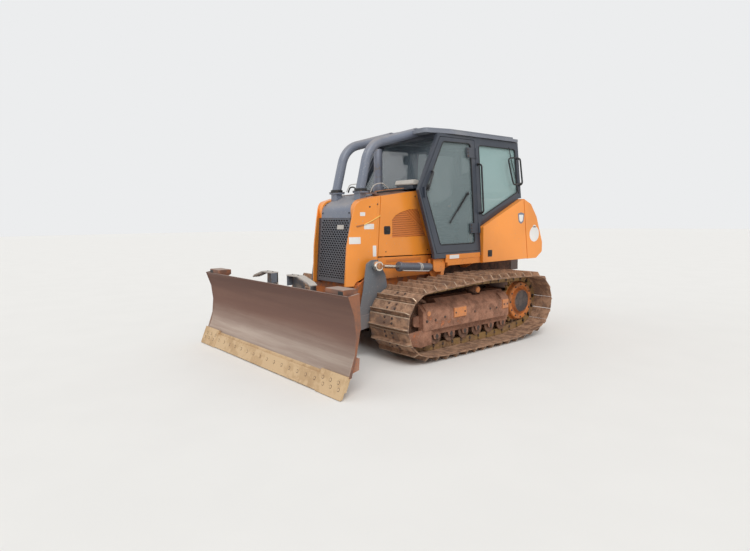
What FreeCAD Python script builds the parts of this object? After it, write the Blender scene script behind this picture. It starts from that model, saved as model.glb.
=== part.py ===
import FreeCAD, Part
import math
import os

# A crawler bulldozer at full size, in millimetres.
# x runs to the machine's left, y to its rear and z up, and it faces -y.
# Stations are written as distances behind the grille's foot. When a piece is saved the whole
# machine is set forward, so that the origin is the middle of its footprint on the ground.

os.makedirs("parts", exist_ok=True)

# Driving dimensions
BLADE_WIDTH = 3150.0
BLADE_TIP = -1036.0          # station of the cutting edge's tip
REAR_END = 3357.0            # station of the rear body's most rearward point
BLADE_TOP = 941.0
MOLD_RADIUS = 826.0          # hollow face of the moldboard
MOLD_DEPTH_AT = (-840.0, 575.0)   # deepest point of that face (station, height)
MOLD_THICK = 22.0
MOLD_FOOT = 190.0            # lower edge of the moldboard, on the cutting edge

TRACK_OUTER = 1250.0         # half width over the tracks
SHOE_WIDTH = 660.0
SHOE_COUNT = 38
GROUSER = 50.0
SHOE_PLATE = 12.0
LINK_HEIGHT = 85.0
LINK_WIDTH = 38.0
IDLER = (480.0, 452.0)       # axle of the front idler (station, height)
SPROCKET = (2478.0, 480.0)
CARRIER = (1547.0, 722.0)
ROLLER_FIRST = 793.0
ROLLER_PITCH = 252.0
ROLLER_COUNT = 6
ROLLER_HEIGHT = 233.0
ROLLER_RADIUS = 84.0

HOOD_HALF = 485.0            # half width over the engine doors
PANEL = 22.0                 # thickness of doors and side panels
HOOD_EDGE = HOOD_HALF - PANEL - 6.0   # half width of the hood's top, clear of the doors
HULL_TOP = 1016.0
ENGINE_FOOT = 640.0
GRILLE_HALF = 300.0
GRILLE_FOOT = (0.0, 867.0)
GRILLE_HEAD = (81.0, 1636.0)

CAB_LOW = 697.0              # half width of the cab at the door's foot
CAB_LEAN = 0.0716            # inward lean of the cab's sides
DOOR_FOOT_Z = 1181.0
ROOF_TOP = 2760.0
FLOOR_FOOT = 1151.0          # underside of the cab's floor
FLOOR_TOP = 1175.0
FENDER_HALF = 741.0
CAVITY_FLOOR = 1200.0        # floor behind the seat, in the rear body

# Pins of the working gear (x, station, height)
LIFT_PIVOT = (0.0, 760.0, 520.0)
LIFT_BARREL_PIN = (620.0, 1150.0, 1005.0)
LIFT_EYE = (620.0, 233.0, 1082.0)
NOSE_PIN = (0.0, -540.0, 445.0)
ANGLE_BARREL_PIN = (220.0, -390.0, 445.0)
ANGLE_EYE = (760.0, -680.0, 445.0)
TILT_BARREL_PIN = (-150.0, -700.0, 780.0)
TILT_EYE = (400.0, -700.0, 780.0)

# Rear hitch: two plates with a pin hole
HITCH_PLATE = 35.0
HITCH_LOW = 640.0
HITCH_HIGH = 735.0
HITCH_BORE = 22.0
HITCH_STATION = 3210.0

STACK = (-120.0, 872.0)      # exhaust on the hood (x, station)

MIDDLE = (BLADE_TIP + REAR_END) / 2.0
TRACK_X = TRACK_OUTER - SHOE_WIDTH / 2.0
RIM_GAP = 1.0


# Shape helpers
def point(x, y, z):
    return FreeCAD.Vector(x, y, z)


def box(x0, x1, y0, y1, z0, z1):
    """Block between two corners."""
    return Part.makeBox(x1 - x0, y1 - y0, z1 - z0, point(x0, y0, z0))


def rod(start, end, radius):
    """Round bar between two points."""
    a = point(*start)
    b = point(*end)
    return Part.makeCylinder(radius, (b - a).Length, a, b - a)


def tube(start, end, outer, inner):
    """Round tube between two points."""
    return rod(start, end, outer).cut(rod(start, end, inner))


def join(*shapes):
    """One solid from touching or overlapping shapes."""
    first = shapes[0]
    return first.multiFuse(list(shapes[1:])).removeSplitter()


def group(*shapes):
    """Several solids that share one piece."""
    return Part.makeCompound([s for shape in shapes for s in shape.Solids])


def mirrored(shape):
    """The same piece on the other side of the machine."""
    return shape.mirror(point(0, 0, 0), point(1, 0, 0))


def in_plane(axis, at, u, v):
    """Point of a drawing plane: x takes (y, z), y takes (x, z) and z takes (x, y)."""
    if axis == "x":
        return point(at, u, v)
    if axis == "y":
        return point(u, at, v)
    return point(u, v, at)


def outline(corners, axis, at):
    """Closed wire through corners (u, v) or (u, v, rounding radius)."""
    edges = []
    ends = []
    count = len(corners)
    for i, corner in enumerate(corners):
        before = corners[i - 1]
        after = corners[(i + 1) % count]
        here = point(corner[0], corner[1], 0)
        back = point(before[0], before[1], 0) - here
        ahead = point(after[0], after[1], 0) - here
        if len(corner) < 3 or corner[2] <= 0:
            ends.append((here, here, None))
            continue
        back.normalize()
        ahead.normalize()
        half = back.getAngle(ahead) / 2.0
        run = corner[2] / math.tan(half)
        middle = back + ahead
        middle.normalize()
        depth = corner[2] / math.sin(half) - corner[2]
        ends.append((here + back * run, here + ahead * run, here + middle * depth))
    for i, (start, end, top) in enumerate(ends):
        if top is not None:
            three = [in_plane(axis, at, p.x, p.y) for p in (start, top, end)]
            edges.append(Part.Arc(*three).toShape())
        nxt = ends[(i + 1) % count][0]
        if (nxt - end).Length > 0.01:
            a = in_plane(axis, at, end.x, end.y)
            b = in_plane(axis, at, nxt.x, nxt.y)
            edges.append(Part.LineSegment(a, b).toShape())
    return Part.Wire(edges)


def along(axis, length):
    """Step of a length along an axis."""
    return point(*[length if axis == name else 0 for name in "xyz"])


def turning(corners):
    """Twice the signed area of an outline, whose sign is the way round that it runs."""
    return sum(a[0] * b[1] - b[0] * a[1] for a, b in zip(corners, corners[1:] + corners[:1]))


def slab(corners, axis, start, end, holes=()):
    """Plate with the outline of its corners, from start to end along its axis."""
    wires = [outline(corners, axis, start)]
    for hole in holes:
        same_way = turning(hole) * turning(corners) > 0
        wires.append(outline(hole[::-1] if same_way else hole, axis, start))
    return Part.Face(wires).extrude(along(axis, end - start))


def spun(corners, centre, axis):
    """Turned piece: corners (distance along the axis, radius) about an axis of x or z."""
    if axis == "x":
        points = [point(centre[0] + a, centre[1], centre[2] + r) for a, r in corners]
        about = point(1, 0, 0)
    else:
        points = [point(centre[0] + r, centre[1], centre[2] + a) for a, r in corners]
        about = point(0, 0, 1)
    face = Part.Face(Part.makePolygon(points + points[:1]))
    return face.revolve(point(*centre), about, 360)


def bent_tube(stops, radii, outer):
    """Round bar along straight runs joined by tangent arcs."""
    pts = [point(*p) for p in stops]
    edges = []
    last = pts[0]
    for i, radius in enumerate(radii):
        corner = pts[i + 1]
        back = pts[i] - corner
        ahead = pts[i + 2] - corner
        back.normalize()
        ahead.normalize()
        half = back.getAngle(ahead) / 2.0
        run = radius / math.tan(half)
        middle = back + ahead
        middle.normalize()
        top = corner + middle * (radius / math.sin(half) - radius)
        start = corner + back * run
        end = corner + ahead * run
        edges.append(Part.LineSegment(last, start).toShape())
        edges.append(Part.Arc(start, top, end).toShape())
        last = end
    edges.append(Part.LineSegment(last, pts[-1]).toShape())
    ring = Part.Wire([Part.Circle(pts[0], pts[1] - pts[0], outer).toShape()])
    return Part.Wire(edges).makePipeShell([ring], True, False)


def leaned(shape, foot, lean):
    """Shape turned about the length of the machine, so that its top leans inward."""
    turned = shape.copy()
    turned.rotate(point(*foot), point(0, 1, 0), -math.degrees(math.atan(lean)))
    return turned


def save(name, shape):
    """Write one piece, set forward so that the origin is under the machine's middle."""
    placed = shape.copy()
    placed.translate(point(0, -MIDDLE, 0))
    placed.exportStep("parts/" + name + ".step")


def save_pair(name, left):
    """Write a piece of the left side and its twin on the right."""
    save(name + "_l", left)
    save(name + "_r", mirrored(left))


def save_both(name, left):
    """Write a piece of the left side and its twin as one piece of separate solids."""
    save(name, group(left, mirrored(left)))


# Tracks
def belt(circles, inset):
    """Tight loop round circles (station, height, radius), as runs of lines and arcs."""
    runs = []
    count = len(circles)
    touch = []
    for i in range(count):
        a = circles[i]
        b = circles[(i + 1) % count]
        gap = math.hypot(b[0] - a[0], b[1] - a[1])
        heading = math.atan2(b[1] - a[1], b[0] - a[0])
        turn = heading + math.acos((a[2] - b[2]) / gap)
        touch.append(turn)
    for i in range(count):
        s, z, radius = circles[i]
        radius -= inset
        runs.append((s, z, radius, touch[i - 1], touch[i]))
    return runs


def belt_points(circles, inset, count):
    """Points at even steps round the loop."""
    fine = []
    for s, z, radius, first, last in belt(circles, inset):
        sweep = (first - last) % (2 * math.pi)
        steps = max(2, int(sweep * radius / 4.0))
        for k in range(steps + 1):
            angle = first - sweep * k / steps
            fine.append((s + radius * math.cos(angle), z + radius * math.sin(angle)))
    fine.append(fine[0])
    lengths = [0.0]
    for a, b in zip(fine, fine[1:]):
        lengths.append(lengths[-1] + math.hypot(b[0] - a[0], b[1] - a[1]))
    result = []
    j = 0
    for k in range(count):
        want = lengths[-1] * k / count
        while lengths[j + 1] < want:
            j += 1
        part = (want - lengths[j]) / (lengths[j + 1] - lengths[j])
        result.append((fine[j][0] + part * (fine[j + 1][0] - fine[j][0]),
                       fine[j][1] + part * (fine[j + 1][1] - fine[j][1])))
    return result


# Wheels that the shoe plates' inner faces wrap (station, height, radius)
WHEEL_STACK = ROLLER_RADIUS + 2.0 * RIM_GAP + LINK_HEIGHT
IDLER_WRAP = 363.0
SPROCKET_WRAP = 359.0
CHORD = 0.975                # how far a straight shoe cuts inside the round that it wraps
ROLLER_LAST = ROLLER_FIRST + ROLLER_PITCH * (ROLLER_COUNT - 1)
WRAPS = [
    (IDLER[0], IDLER[1], IDLER_WRAP),
    (CARRIER[0], CARRIER[1], 142.0),
    (SPROCKET[0], SPROCKET[1], SPROCKET_WRAP),
    (ROLLER_LAST, ROLLER_HEIGHT, WHEEL_STACK),
    (ROLLER_FIRST, ROLLER_HEIGHT, WHEEL_STACK),
]


def offset_loop(points, distance):
    """Loop moved outward by a distance, corner by corner."""
    count = len(points)
    moved = []
    for i in range(count):
        a = points[i - 1]
        b = points[i]
        c = points[(i + 1) % count]
        n1 = normal(a, b)
        n2 = normal(b, c)
        mid = (n1[0] + n2[0], n1[1] + n2[1])
        size = mid[0] * n1[0] + mid[1] * n1[1]
        moved.append((b[0] + mid[0] * distance / size, b[1] + mid[1] * distance / size))
    return moved


def normal(a, b):
    """Outward unit normal of a step round the loop, which runs clockwise seen from +x."""
    length = math.hypot(b[0] - a[0], b[1] - a[1])
    return (-(b[1] - a[1]) / length, (b[0] - a[0]) / length)


def track():
    """Loop of shoes with their grousers, on two rows of links."""
    inner = belt_points(WRAPS, 0.0, SHOE_COUNT)
    plate = offset_loop(inner, SHOE_PLATE)
    outer = []
    # Grouser across each shoe (part of the shoe's length, height above the plate)
    teeth = [(0.10, 0.0), (0.13, GROUSER), (0.20, GROUSER), (0.24, 0.0)]
    for i in range(SHOE_COUNT):
        a = plate[i]
        b = plate[(i + 1) % SHOE_COUNT]
        n = normal(a, b)
        outer.append(a)
        for part, height in teeth:
            outer.append((a[0] + part * (b[0] - a[0]) + n[0] * height,
                          a[1] + part * (b[1] - a[1]) + n[1] * height))
    low = TRACK_X - SHOE_WIDTH / 2.0
    shoes = slab(outer, "x", low, low + SHOE_WIDTH, [inner])
    top = offset_loop(inner, SHOE_PLATE / 2.0)
    foot = offset_loop(inner, -LINK_HEIGHT)
    rows = []
    for middle in (-39.0, 39.0):
        start = TRACK_X + middle - LINK_WIDTH / 2.0
        rows.append(slab(top, "x", start, start + LINK_WIDTH, [foot]))
    return join(shoes, *rows)


def track_frame():
    """Main beam between idler and sprocket, with its yoke, covers and roller guard."""
    x_in = TRACK_X - 120.0
    x_out = TRACK_X + 170.0
    z_low = 345.0
    # Cross-section of the beam (x, height)
    section = [(x_in, z_low), (x_out, z_low), (x_out, 560.0), (TRACK_X + 40.0, 680.0), (x_in, 680.0)]
    beam = slab(section, "y", 800.0, 2080.0)
    cover_x = TRACK_X + 84.0
    cover = slab([(cover_x, z_low), (x_out, z_low), (x_out, 560.0), (cover_x, 640.0)], "y", 500.0, 801.0)
    shapes = [beam, cover]
    for side in (-1, 1):
        x = TRACK_X + side * 92.0
        yoke = [(IDLER[0] - 70.0, 400.0, 30.0), (700.0, 345.0), (900.0, 345.0), (900.0, 540.0),
                (700.0, 540.0), (IDLER[0] - 70.0, 510.0, 30.0)]
        shapes.append(slab(yoke, "x", x - 10.0, x + 10.0))
        guard = [(700.0, 350.0), (690.0, 262.0), (2150.0, 262.0), (2140.0, 350.0)]
        shapes.append(slab(guard, "x", x - 8.0, x + 8.0))
    post = slab([(CARRIER[0] - 40.0, 650.0), (CARRIER[0] + 40.0, 650.0), (CARRIER[0], 762.0, 34.0)],
                "x", TRACK_X - 110.0, TRACK_X - 84.0)
    shapes.append(post)
    # Guard below the idler and the two steps on the covers' slope (station, station)
    skid = [(232.0, 340.0, 20.0), (300.0, 205.0, 30.0), (470.0, 158.0), (645.0, 172.0), (645.0, 356.0), (470.0, 356.0)]
    shapes.append(slab(skid, "x", x_out - 34.0, x_out - 10.0))
    for start, end in ((540.0, 660.0), (1920.0, 2070.0)):
        shapes.append(slab([(x_out, 500.0), (x_out, 585.0), (x_out - 62.0, 648.0), (x_out - 84.0, 600.0),
                            (x_out - 84.0, 500.0)], "y", start, end))
    cheek = [(2060.0, 345.0), (2190.0, 380.0), (2190.0, 560.0), (2060.0, 640.0)]
    shapes.append(slab(cheek, "x", x_in, x_in + 60.0))
    notch = box(x_in + 35.0, x_out, CARRIER[0] - 75.0, CARRIER[0] + 75.0, 655.0, 700.0)
    return join(*shapes).cut(notch)


def idler():
    """Front wheel of a track, with its axle."""
    rim = IDLER_WRAP * CHORD - LINK_HEIGHT - RIM_GAP
    # Half section (distance along the axle, radius)
    section = [(-62, 0), (-62, rim), (-18, rim), (-18, rim + 16), (18, rim + 16), (18, rim), (62, rim), (62, 0)]
    wheel = spun(section, (TRACK_X, IDLER[0], IDLER[1]), "x")
    hollow = spun([(62, 70), (62, rim - 30), (36, rim - 44), (36, 84)],
                  (TRACK_X, IDLER[0], IDLER[1]), "x")
    wheel = wheel.cut(hollow)
    wheel = wheel.cut(hollow.mirror(point(TRACK_X, 0, 0), point(1, 0, 0)))
    axle = rod((TRACK_X - 82.0, IDLER[0], IDLER[1]), (TRACK_X + 82.0, IDLER[0], IDLER[1]), 42.0)
    return join(wheel, axle)


def sprocket():
    """Toothed drive wheel on its final drive housing."""
    teeth = 25
    tip = 322.0
    root = 286.0
    ring = []
    for i in range(teeth):
        for part, radius in ((0.0, root), (0.25, root), (0.42, tip), (0.58, tip), (0.75, root)):
            angle = 2 * math.pi * (i + part) / teeth
            ring.append((SPROCKET[0] + radius * math.cos(angle), SPROCKET[1] + radius * math.sin(angle)))
    gear = slab(ring, "x", TRACK_X - 16.0, TRACK_X + 16.0)
    centre = (TRACK_X, SPROCKET[0], SPROCKET[1])
    rim = SPROCKET_WRAP * CHORD - LINK_HEIGHT - 6.0
    hub = spun([(-60, 0), (-60, 200), (-30, rim), (60, rim), (76, rim - 12), (76, 205), (48, 190),
                (48, 170), (96, 150), (104, 90), (104, 0)], centre, "x")
    return join(gear, hub)


def rollers():
    """Bottom rollers and the carrier roller of one track."""
    shapes = []
    r = ROLLER_RADIUS - 2.0
    turned = [(-84, 0), (-84, 36), (-78, 36), (-78, r + 13), (-62, r + 13), (-60, r), (-16, r),
              (-10, r - 16), (10, r - 16), (16, r), (60, r), (62, r + 13), (78, r + 13), (78, 36),
              (84, 36), (84, 0)]
    for i in range(ROLLER_COUNT):
        s = ROLLER_FIRST + i * ROLLER_PITCH
        shapes.append(spun(turned, (TRACK_X, s, ROLLER_HEIGHT), "x"))
    small = [(-84, 0), (-84, 40), (-62, 54), (62, 54), (84, 48), (84, 0)]
    shapes.append(spun(small, (TRACK_X, CARRIER[0], CARRIER[1]), "x"))
    return group(*shapes)


# Main frame and engine
HULL_HALF = 440.0
HULL_INSIDE = 418.0
BELLY_TOP = 357.0
RAIL_END = 1240.0            # rear end of the rails under the engine doors


def hull_side():
    """Side plate of the hull between the tracks."""
    corners = [(70.0, 560.0), (180.0, 335.0), (2950.0, 335.0), (3010.0, 600.0), (3010.0, HULL_TOP),
               (345.0, HULL_TOP), (70.0, 850.0)]
    return slab(corners, "x", HULL_INSIDE, HULL_HALF)


def hull_plates():
    """Belly, nose and tail plates between the hull's sides, with a narrow seam at each bend."""
    plates = [
        [(206.0, 335.0), (2924.0, 335.0), (2924.0, BELLY_TOP), (206.0, BELLY_TOP)],
        [(71.0, 560.0), (180.0, 337.0), (202.0, 348.0), (93.0, 571.0)],
        [(70.0, 574.0), (92.0, 574.0), (92.0, 850.0), (70.0, 850.0)],
        [(2949.0, 337.0), (3009.0, 600.0), (2988.0, 606.0), (2928.0, 343.0)],
        [(2988.0, 609.0), (3010.0, 609.0), (3010.0, HULL_TOP), (2988.0, HULL_TOP)],
    ]
    return group(*[slab(corners, "x", -HULL_INSIDE, HULL_INSIDE) for corners in plates])


def cross_members():
    """Beams across the hull: under the engine, under the cooling pack and under the cab."""
    shapes = [box(-HULL_INSIDE, HULL_INSIDE, station, station + 40.0, BELLY_TOP, ENGINE_FOOT)
              for station in (460.0, 1040.0, 1900.0)]
    shapes.append(box(-HULL_INSIDE, HULL_INSIDE, 92.0, 270.0, 850.0, 880.0))
    for station in (1360.0, 1860.0):
        beam = box(-HULL_INSIDE, HULL_INSIDE, station, station + 90.0, 930.0, HULL_TOP)
        feet = [rod((x, station + 45.0, HULL_TOP - 1.0), (x, station + 45.0, FLOOR_FOOT), 42.0)
                for x in (-370.0, 370.0)]
        shapes.append(join(beam, *feet))
    return group(*shapes)


def cross_shafts():
    """Flanged shafts that stand out of the hull's sides."""
    shapes = []
    # For the lift frame, the track frames and the final drives (station, height, radius, end)
    for station, height, radius, end in ((LIFT_PIVOT[1], LIFT_PIVOT[2], 45.0, 584.0),
                                         (1240.0, 470.0, 70.0, TRACK_X - 120.0),
                                         (SPROCKET[0], SPROCKET[1], 150.0, TRACK_X - 60.0)):
        reach = end - HULL_HALF
        shaft = spun([(0, 0), (0, radius + 32.0), (18.0, radius + 32.0), (18.0, radius), (reach, radius), (reach, 0)],
                     (HULL_HALF, station, height), "x")
        shapes += [shaft, mirrored(shaft)]
    return group(*shapes)


def hood_frame():
    """Rails under the engine doors and the posts that carry the hood's panels and top."""
    rail = slab([(345.0, 905.0), (RAIL_END, 905.0), (RAIL_END, 1150.0), (351.0, 1150.0)],
                "x", HULL_HALF, HOOD_HALF)
    # Posts on the rail (station, height of the top's underside)
    posts = [box(HULL_HALF, HOOD_EDGE, station, station + 40.0, 1140.0, top)
             for station, top in ((430.0, 1882.0), (950.0, 1947.0))]
    front = box(HULL_HALF, HOOD_HALF - PANEL, 150.0, 190.0, 845.0, 1780.0)
    left = group(join(rail, *posts), front)
    return group(left, mirrored(left))


def lift_brackets():
    """Brackets on the hull's sides that hold the lift cylinders between two lugs."""
    shapes = [box(HULL_HALF, 668.0, RAIL_END, 1300.0, 1060.0, 1110.0),
              box(HULL_HALF, 668.0, RAIL_END, 1289.0, 905.0, 1070.0)]
    # Lugs (inner face, outer face, height of the foot)
    for inner, outer, foot in ((572.0, 590.0, 800.0), (650.0, 668.0, 950.0)):
        shapes.append(slab([(1105.0, 1110.0), (1320.0, 1110.0), (1300.0, foot, 20.0), (1200.0, foot, 20.0),
                            (1105.0, 955.0, 45.0)], "x", inner, outer))
    left = join(*shapes)
    return group(left, mirrored(left))


def engine_block():
    """Engine as one plain block."""
    return box(-300.0, 300.0, 420.0, 1120.0, ENGINE_FOOT, 1560.0)


def radiator():
    """Cooling pack behind the grille."""
    return slab([(80.0, 880.0), (250.0, 880.0), (320.0, 1600.0), (150.0, 1600.0)], "x", -418.0, 418.0)


def grille():
    """Honeycomb guard that leans back over the radiator."""
    rise = GRILLE_HEAD[1] - GRILLE_FOOT[1]
    back = GRILLE_HEAD[0] - GRILLE_FOOT[0]
    length = math.hypot(rise, back)
    cell = 52.0
    across = cell * math.sqrt(3.0) / 2.0
    radius = cell / math.sqrt(3.0) * 0.80
    holes = []
    rows = int((length - 60.0) / across)
    for row in range(rows):
        v = 45.0 + row * across + radius
        shift = cell / 2.0 if row % 2 else 0.0
        for column in range(-5, 6):
            u = column * cell + shift
            if abs(u) > GRILLE_HALF - 32.0:
                continue
            holes.append([(u + radius * math.sin(math.radians(60 * k)),
                           v + radius * math.cos(math.radians(60 * k))) for k in range(6)])
    sheet = slab([(-GRILLE_HALF, 0), (GRILLE_HALF, 0), (GRILLE_HALF, length), (-GRILLE_HALF, length)],
                 "y", 0.0, 16.0, holes)
    sheet.rotate(point(0, 0, 0), point(1, 0, 0), -math.degrees(math.atan2(back, rise)))
    sheet.translate(point(0, GRILLE_FOOT[0], GRILLE_FOOT[1]))
    return sheet


SHROUD_KNEE = (96.0, 1780.0)
SHROUD_BACK = (330.0, 1900.0)


def shroud_height(station):
    """Height of the shroud's sloped top at a station."""
    slope = (SHROUD_BACK[1] - SHROUD_KNEE[1]) / (SHROUD_BACK[0] - SHROUD_KNEE[0])
    return SHROUD_KNEE[1] + slope * (station - SHROUD_KNEE[0])


def hood_shroud():
    """Plate that curves back from the grille's head to the hood's top."""
    wall = 14.0
    outer = [(GRILLE_HEAD[0] + 1.0, GRILLE_HEAD[1] + 4.0), SHROUD_KNEE + (120.0,), SHROUD_BACK + (60.0,),
             (420.0, 1926.0)]
    inner = [(420.0, 1926.0 - wall), (SHROUD_BACK[0] + 8.0, SHROUD_BACK[1] - wall, 60.0),
             (SHROUD_KNEE[0] + wall, SHROUD_KNEE[1] - 8.0, 106.0), (outer[0][0] + wall, outer[0][1])]
    return slab(outer + inner, "x", -300.0, 300.0)


def front_panel():
    """Side panel ahead of the engine door, folded in towards the grille."""
    corners = [(0.0, 836.0), (78.0, 1835.0, 130.0), (396.0, 1898.0), (341.0, 1182.0), (335.0, 1040.0),
               (130.0, 900.0), (60.0, 836.0)]
    side = slab(corners, "x", HOOD_HALF - PANEL, HOOD_HALF)
    fold = [(0.0, 836.0), (78.0, 1835.0, 130.0), (396.0, 1898.0), (394.0, 1876.0), (112.0, 1818.0, 110.0),
            (24.0, 836.0)]
    lip = slab(fold, "x", 300.0, HOOD_HALF - PANEL + 1.0)
    return join(side, lip)


def crown(height, drop, station):
    """Cross-section of the hood's top at a station, flat in the middle and lower at its edges."""
    edge = HOOD_EDGE
    flat = 330.0
    wall = 14.0
    return outline([(-edge, height - drop), (-flat, height), (flat, height), (edge, height - drop),
                    (edge, height - drop - wall), (flat, height - wall), (-flat, height - wall),
                    (-edge, height - drop - wall)], "y", station)


def hood_top():
    """Crowned top of the hood, from the shroud to the windscreen."""
    return Part.makeLoft([crown(1930.0, 34.0, 420.0), crown(1988.0, 18.0, 1010.0)], True, True)


def engine_door():
    """Side door of the engine bay, with its louvres cut."""
    corners = [(404.0, 1896.0), (1012.0, 1972.0), (1272.0, 1162.0), (349.0, 1180.0)]
    door = slab(corners, "x", HOOD_HALF - PANEL, HOOD_HALF)
    slots = []
    for i in range(9):
        z = 1436.0 + i * 30.0
        reach = 946.0 - i * 13.0
        slots.append(box(HOOD_HALF - 60.0, HOOD_HALF + 20.0, 580.0 + max(0, i - 6) * 30.0, reach, z, z + 12.0))
    for slot in slots:
        door = door.cut(slot)
    return door


# Cab
def side_x(z):
    """Half width of the cab at a height."""
    return CAB_LOW - CAB_LEAN * (z - DOOR_FOOT_Z)


DOOR_CORNERS = [(1127.0, 1181.0, 20.0), (895.0, 1979.0, 30.0), (1291.0, 2655.0, 40.0),
                (1957.0, 2655.0, 30.0), (1957.0, 1181.0, 20.0)]
DOOR_GLASS = [(1206.0, 1290.0, 30.0), (990.0, 1968.0, 40.0), (1345.0, 2590.0, 50.0),
              (1870.0, 2600.0, 50.0), (1870.0, 1290.0, 40.0)]
SIDE_GLASS = [(2040.0, 1640.0, 30.0), (2040.0, 2590.0, 40.0), (2840.0, 2590.0, 40.0),
              (2860.0, 1985.0, 30.0)]
HINGE_OUT = 12.0             # hinge line of a cab door, outside its face
HINGE_STATION = 1960.0
HINGE_HEIGHTS = (1465.0, 2460.0)
SKIN = 40.0                  # thickness of the cab doors
WALL = 45.0                  # thickness of the cab's side walls
STOP = 25.0                  # depth of the door stop behind them
LINING = (WALL + STOP) / math.cos(math.atan(CAB_LEAN))   # level distance from face to lining


def lean_left(shape):
    """Wall drawn upright at the cab's left face, leaned to its tumblehome."""
    return leaned(shape, (CAB_LOW, 0.0, DOOR_FOOT_Z), CAB_LEAN)


def cab_door():
    """Framed cab door with its glass opening and handle."""
    gap = 6.0
    corners = [(1127.0 + gap, 1181.0 + gap, 20.0), (895.0 + gap, 1979.0, 30.0),
               (1291.0 + gap, 2655.0 - gap, 40.0), (1957.0 - gap, 2655.0 - gap, 30.0),
               (1957.0 - gap, 1181.0 + gap, 20.0)]
    door = slab(corners, "x", CAB_LOW - SKIN, CAB_LOW, [DOOR_GLASS])
    handle = box(CAB_LOW - 2.0, CAB_LOW + 26.0, 948.0, 968.0, 1880.0, 2010.0)
    leaves = [knuckle(height, HINGE_STATION - 72.0, HINGE_STATION - 10.0) for height in HINGE_HEIGHTS]
    return lean_left(join(door, handle, *leaves))


def door_glass():
    """Pane of the cab door."""
    return lean_left(slab(DOOR_GLASS, "x", CAB_LOW - 26.0, CAB_LOW - 18.0))


def between_sides(shape):
    """Part of a cross wall that lies between the cab's leaning sides."""
    low = side_x(1100.0) - LINING
    high = side_x(2700.0) - LINING
    room = slab([(-low, 1100.0), (low, 1100.0), (high, 2700.0), (-high, 2700.0)], "y", 800.0, 3000.0)
    return shape.common(room)


def knuckle(height, start, end):
    """Part of a cab door's hinge: round barrel on the hinge line at a height, with a flat leaf."""
    barrel_x = CAB_LOW + HINGE_OUT
    face = CAB_LOW + 0.5
    turn = rod((barrel_x, HINGE_STATION, height), (barrel_x, HINGE_STATION, height + 42.0), 9.0)
    leaf = box(face - 1.0, face + 8.0, start, end, height, height + 42.0)
    web = box(CAB_LOW + 4.0, barrel_x, min(HINGE_STATION, end - 10.0), max(HINGE_STATION, start + 10.0),
              height, height + 42.0)
    return join(turn, leaf, web)


def cab_side():
    """Side wall of the cab with its door and window openings and the fixed hinge leaves."""
    side = [(1085.0, 1120.0), (1085.0, 1181.0), (868.0, 1975.0), (1262.0, 2690.0), (2915.0, 2690.0),
            (2945.0, 1900.0), (2880.0, 1890.0), (1983.0, 1502.0), (1983.0, 1120.0)]
    wall = slab(side, "x", CAB_LOW - WALL, CAB_LOW, [DOOR_CORNERS, SIDE_GLASS])
    leaves = [knuckle(height + shift, HINGE_STATION + 6.0, HINGE_STATION + 22.0)
              for height in HINGE_HEIGHTS for shift in (-44.0, 44.0)]
    return lean_left(join(wall, *leaves))


def cab_lining():
    """Stop that a cab door closes on, and the lining above and behind the side window."""
    back = CAB_LOW - WALL
    stop = slab([(1115.0, 1120.0), (1115.0, 1181.0), (898.0, 1975.0), (1285.0, 2690.0), (1983.0, 2690.0),
                 (1983.0, 1120.0)], "x", back - STOP, back,
                [[(1165.0, 1215.0), (935.0, 1979.0), (1318.0, 2620.0), (1915.0, 2620.0), (1915.0, 1215.0)]])
    brow = slab([(1960.0, 2610.0), (2915.0, 2610.0), (2915.0, 2690.0), (1960.0, 2690.0)], "x", back - STOP, back)
    corner = slab([(2860.0, 1905.0), (2940.0, 1905.0), (2915.0, 2690.0), (2860.0, 2690.0)],
                  "x", back - STOP, back)
    return lean_left(join(stop, brow, corner))


def cab_walls():
    """Walls across the cab: floor, front wall and shelf, windscreen head, and rear window wall."""
    front = slab([(1300.0, 1120.0), (1340.0, 1120.0), (1095.0, 2020.0), (1055.0, 2020.0)], "x", -700.0, 700.0)
    shelf = slab([(965.0, 2000.0), (1075.0, 2000.0), (1075.0, 2020.0), (965.0, 2020.0)], "x", -700.0, 700.0)
    floor = box(-700.0, 700.0, 1295.0, 1983.0, FLOOR_FOOT, FLOOR_TOP)
    head = slab([(1280.0, 2640.0), (1330.0, 2610.0), (1350.0, 2690.0), (1280.0, 2690.0)], "x", -700.0, 700.0)
    rear = slab([(2905.0, 1895.0), (2942.0, 1895.0), (2915.0, 2690.0), (2880.0, 2690.0)], "x", -700.0, 700.0)
    rear = rear.cut(box(-470.0, 470.0, 2800.0, 3000.0, 2000.0, 2560.0))
    return group(*[between_sides(piece) for piece in (join(front, shelf, floor), head, rear)])


def cab_roof():
    """Roof with its overhanging rim."""
    plan = [(-520.0, 1100.0, 60.0), (520.0, 1100.0, 60.0), (615.0, 1500.0, 200.0), (615.0, 2925.0, 60.0),
            (-615.0, 2925.0, 60.0), (-615.0, 1500.0, 200.0)]
    lower = slab(plan, "z", 2692.0, 2730.0)
    upper = slab([(-480.0, 1150.0, 60.0), (480.0, 1150.0, 60.0), (570.0, 1520.0, 160.0), (570.0, 2870.0, 60.0),
                  (-570.0, 2870.0, 60.0), (-570.0, 1520.0, 160.0)], "z", 2729.0, ROOF_TOP)
    return join(lower, upper)


def windshield():
    """Front pane between the cab's shelf and its roof."""
    pane = slab([(985.0, 2020.0), (994.0, 2020.0), (1309.0, 2622.5), (1300.0, 2628.0)], "x", -700.0, 700.0)
    low = side_x(2000.0) - LINING - 1.0
    high = side_x(2640.0) - LINING - 1.0
    return pane.common(slab([(-low, 2000.0), (low, 2000.0), (high, 2640.0), (-high, 2640.0)], "y", 900.0, 1400.0))


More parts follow.
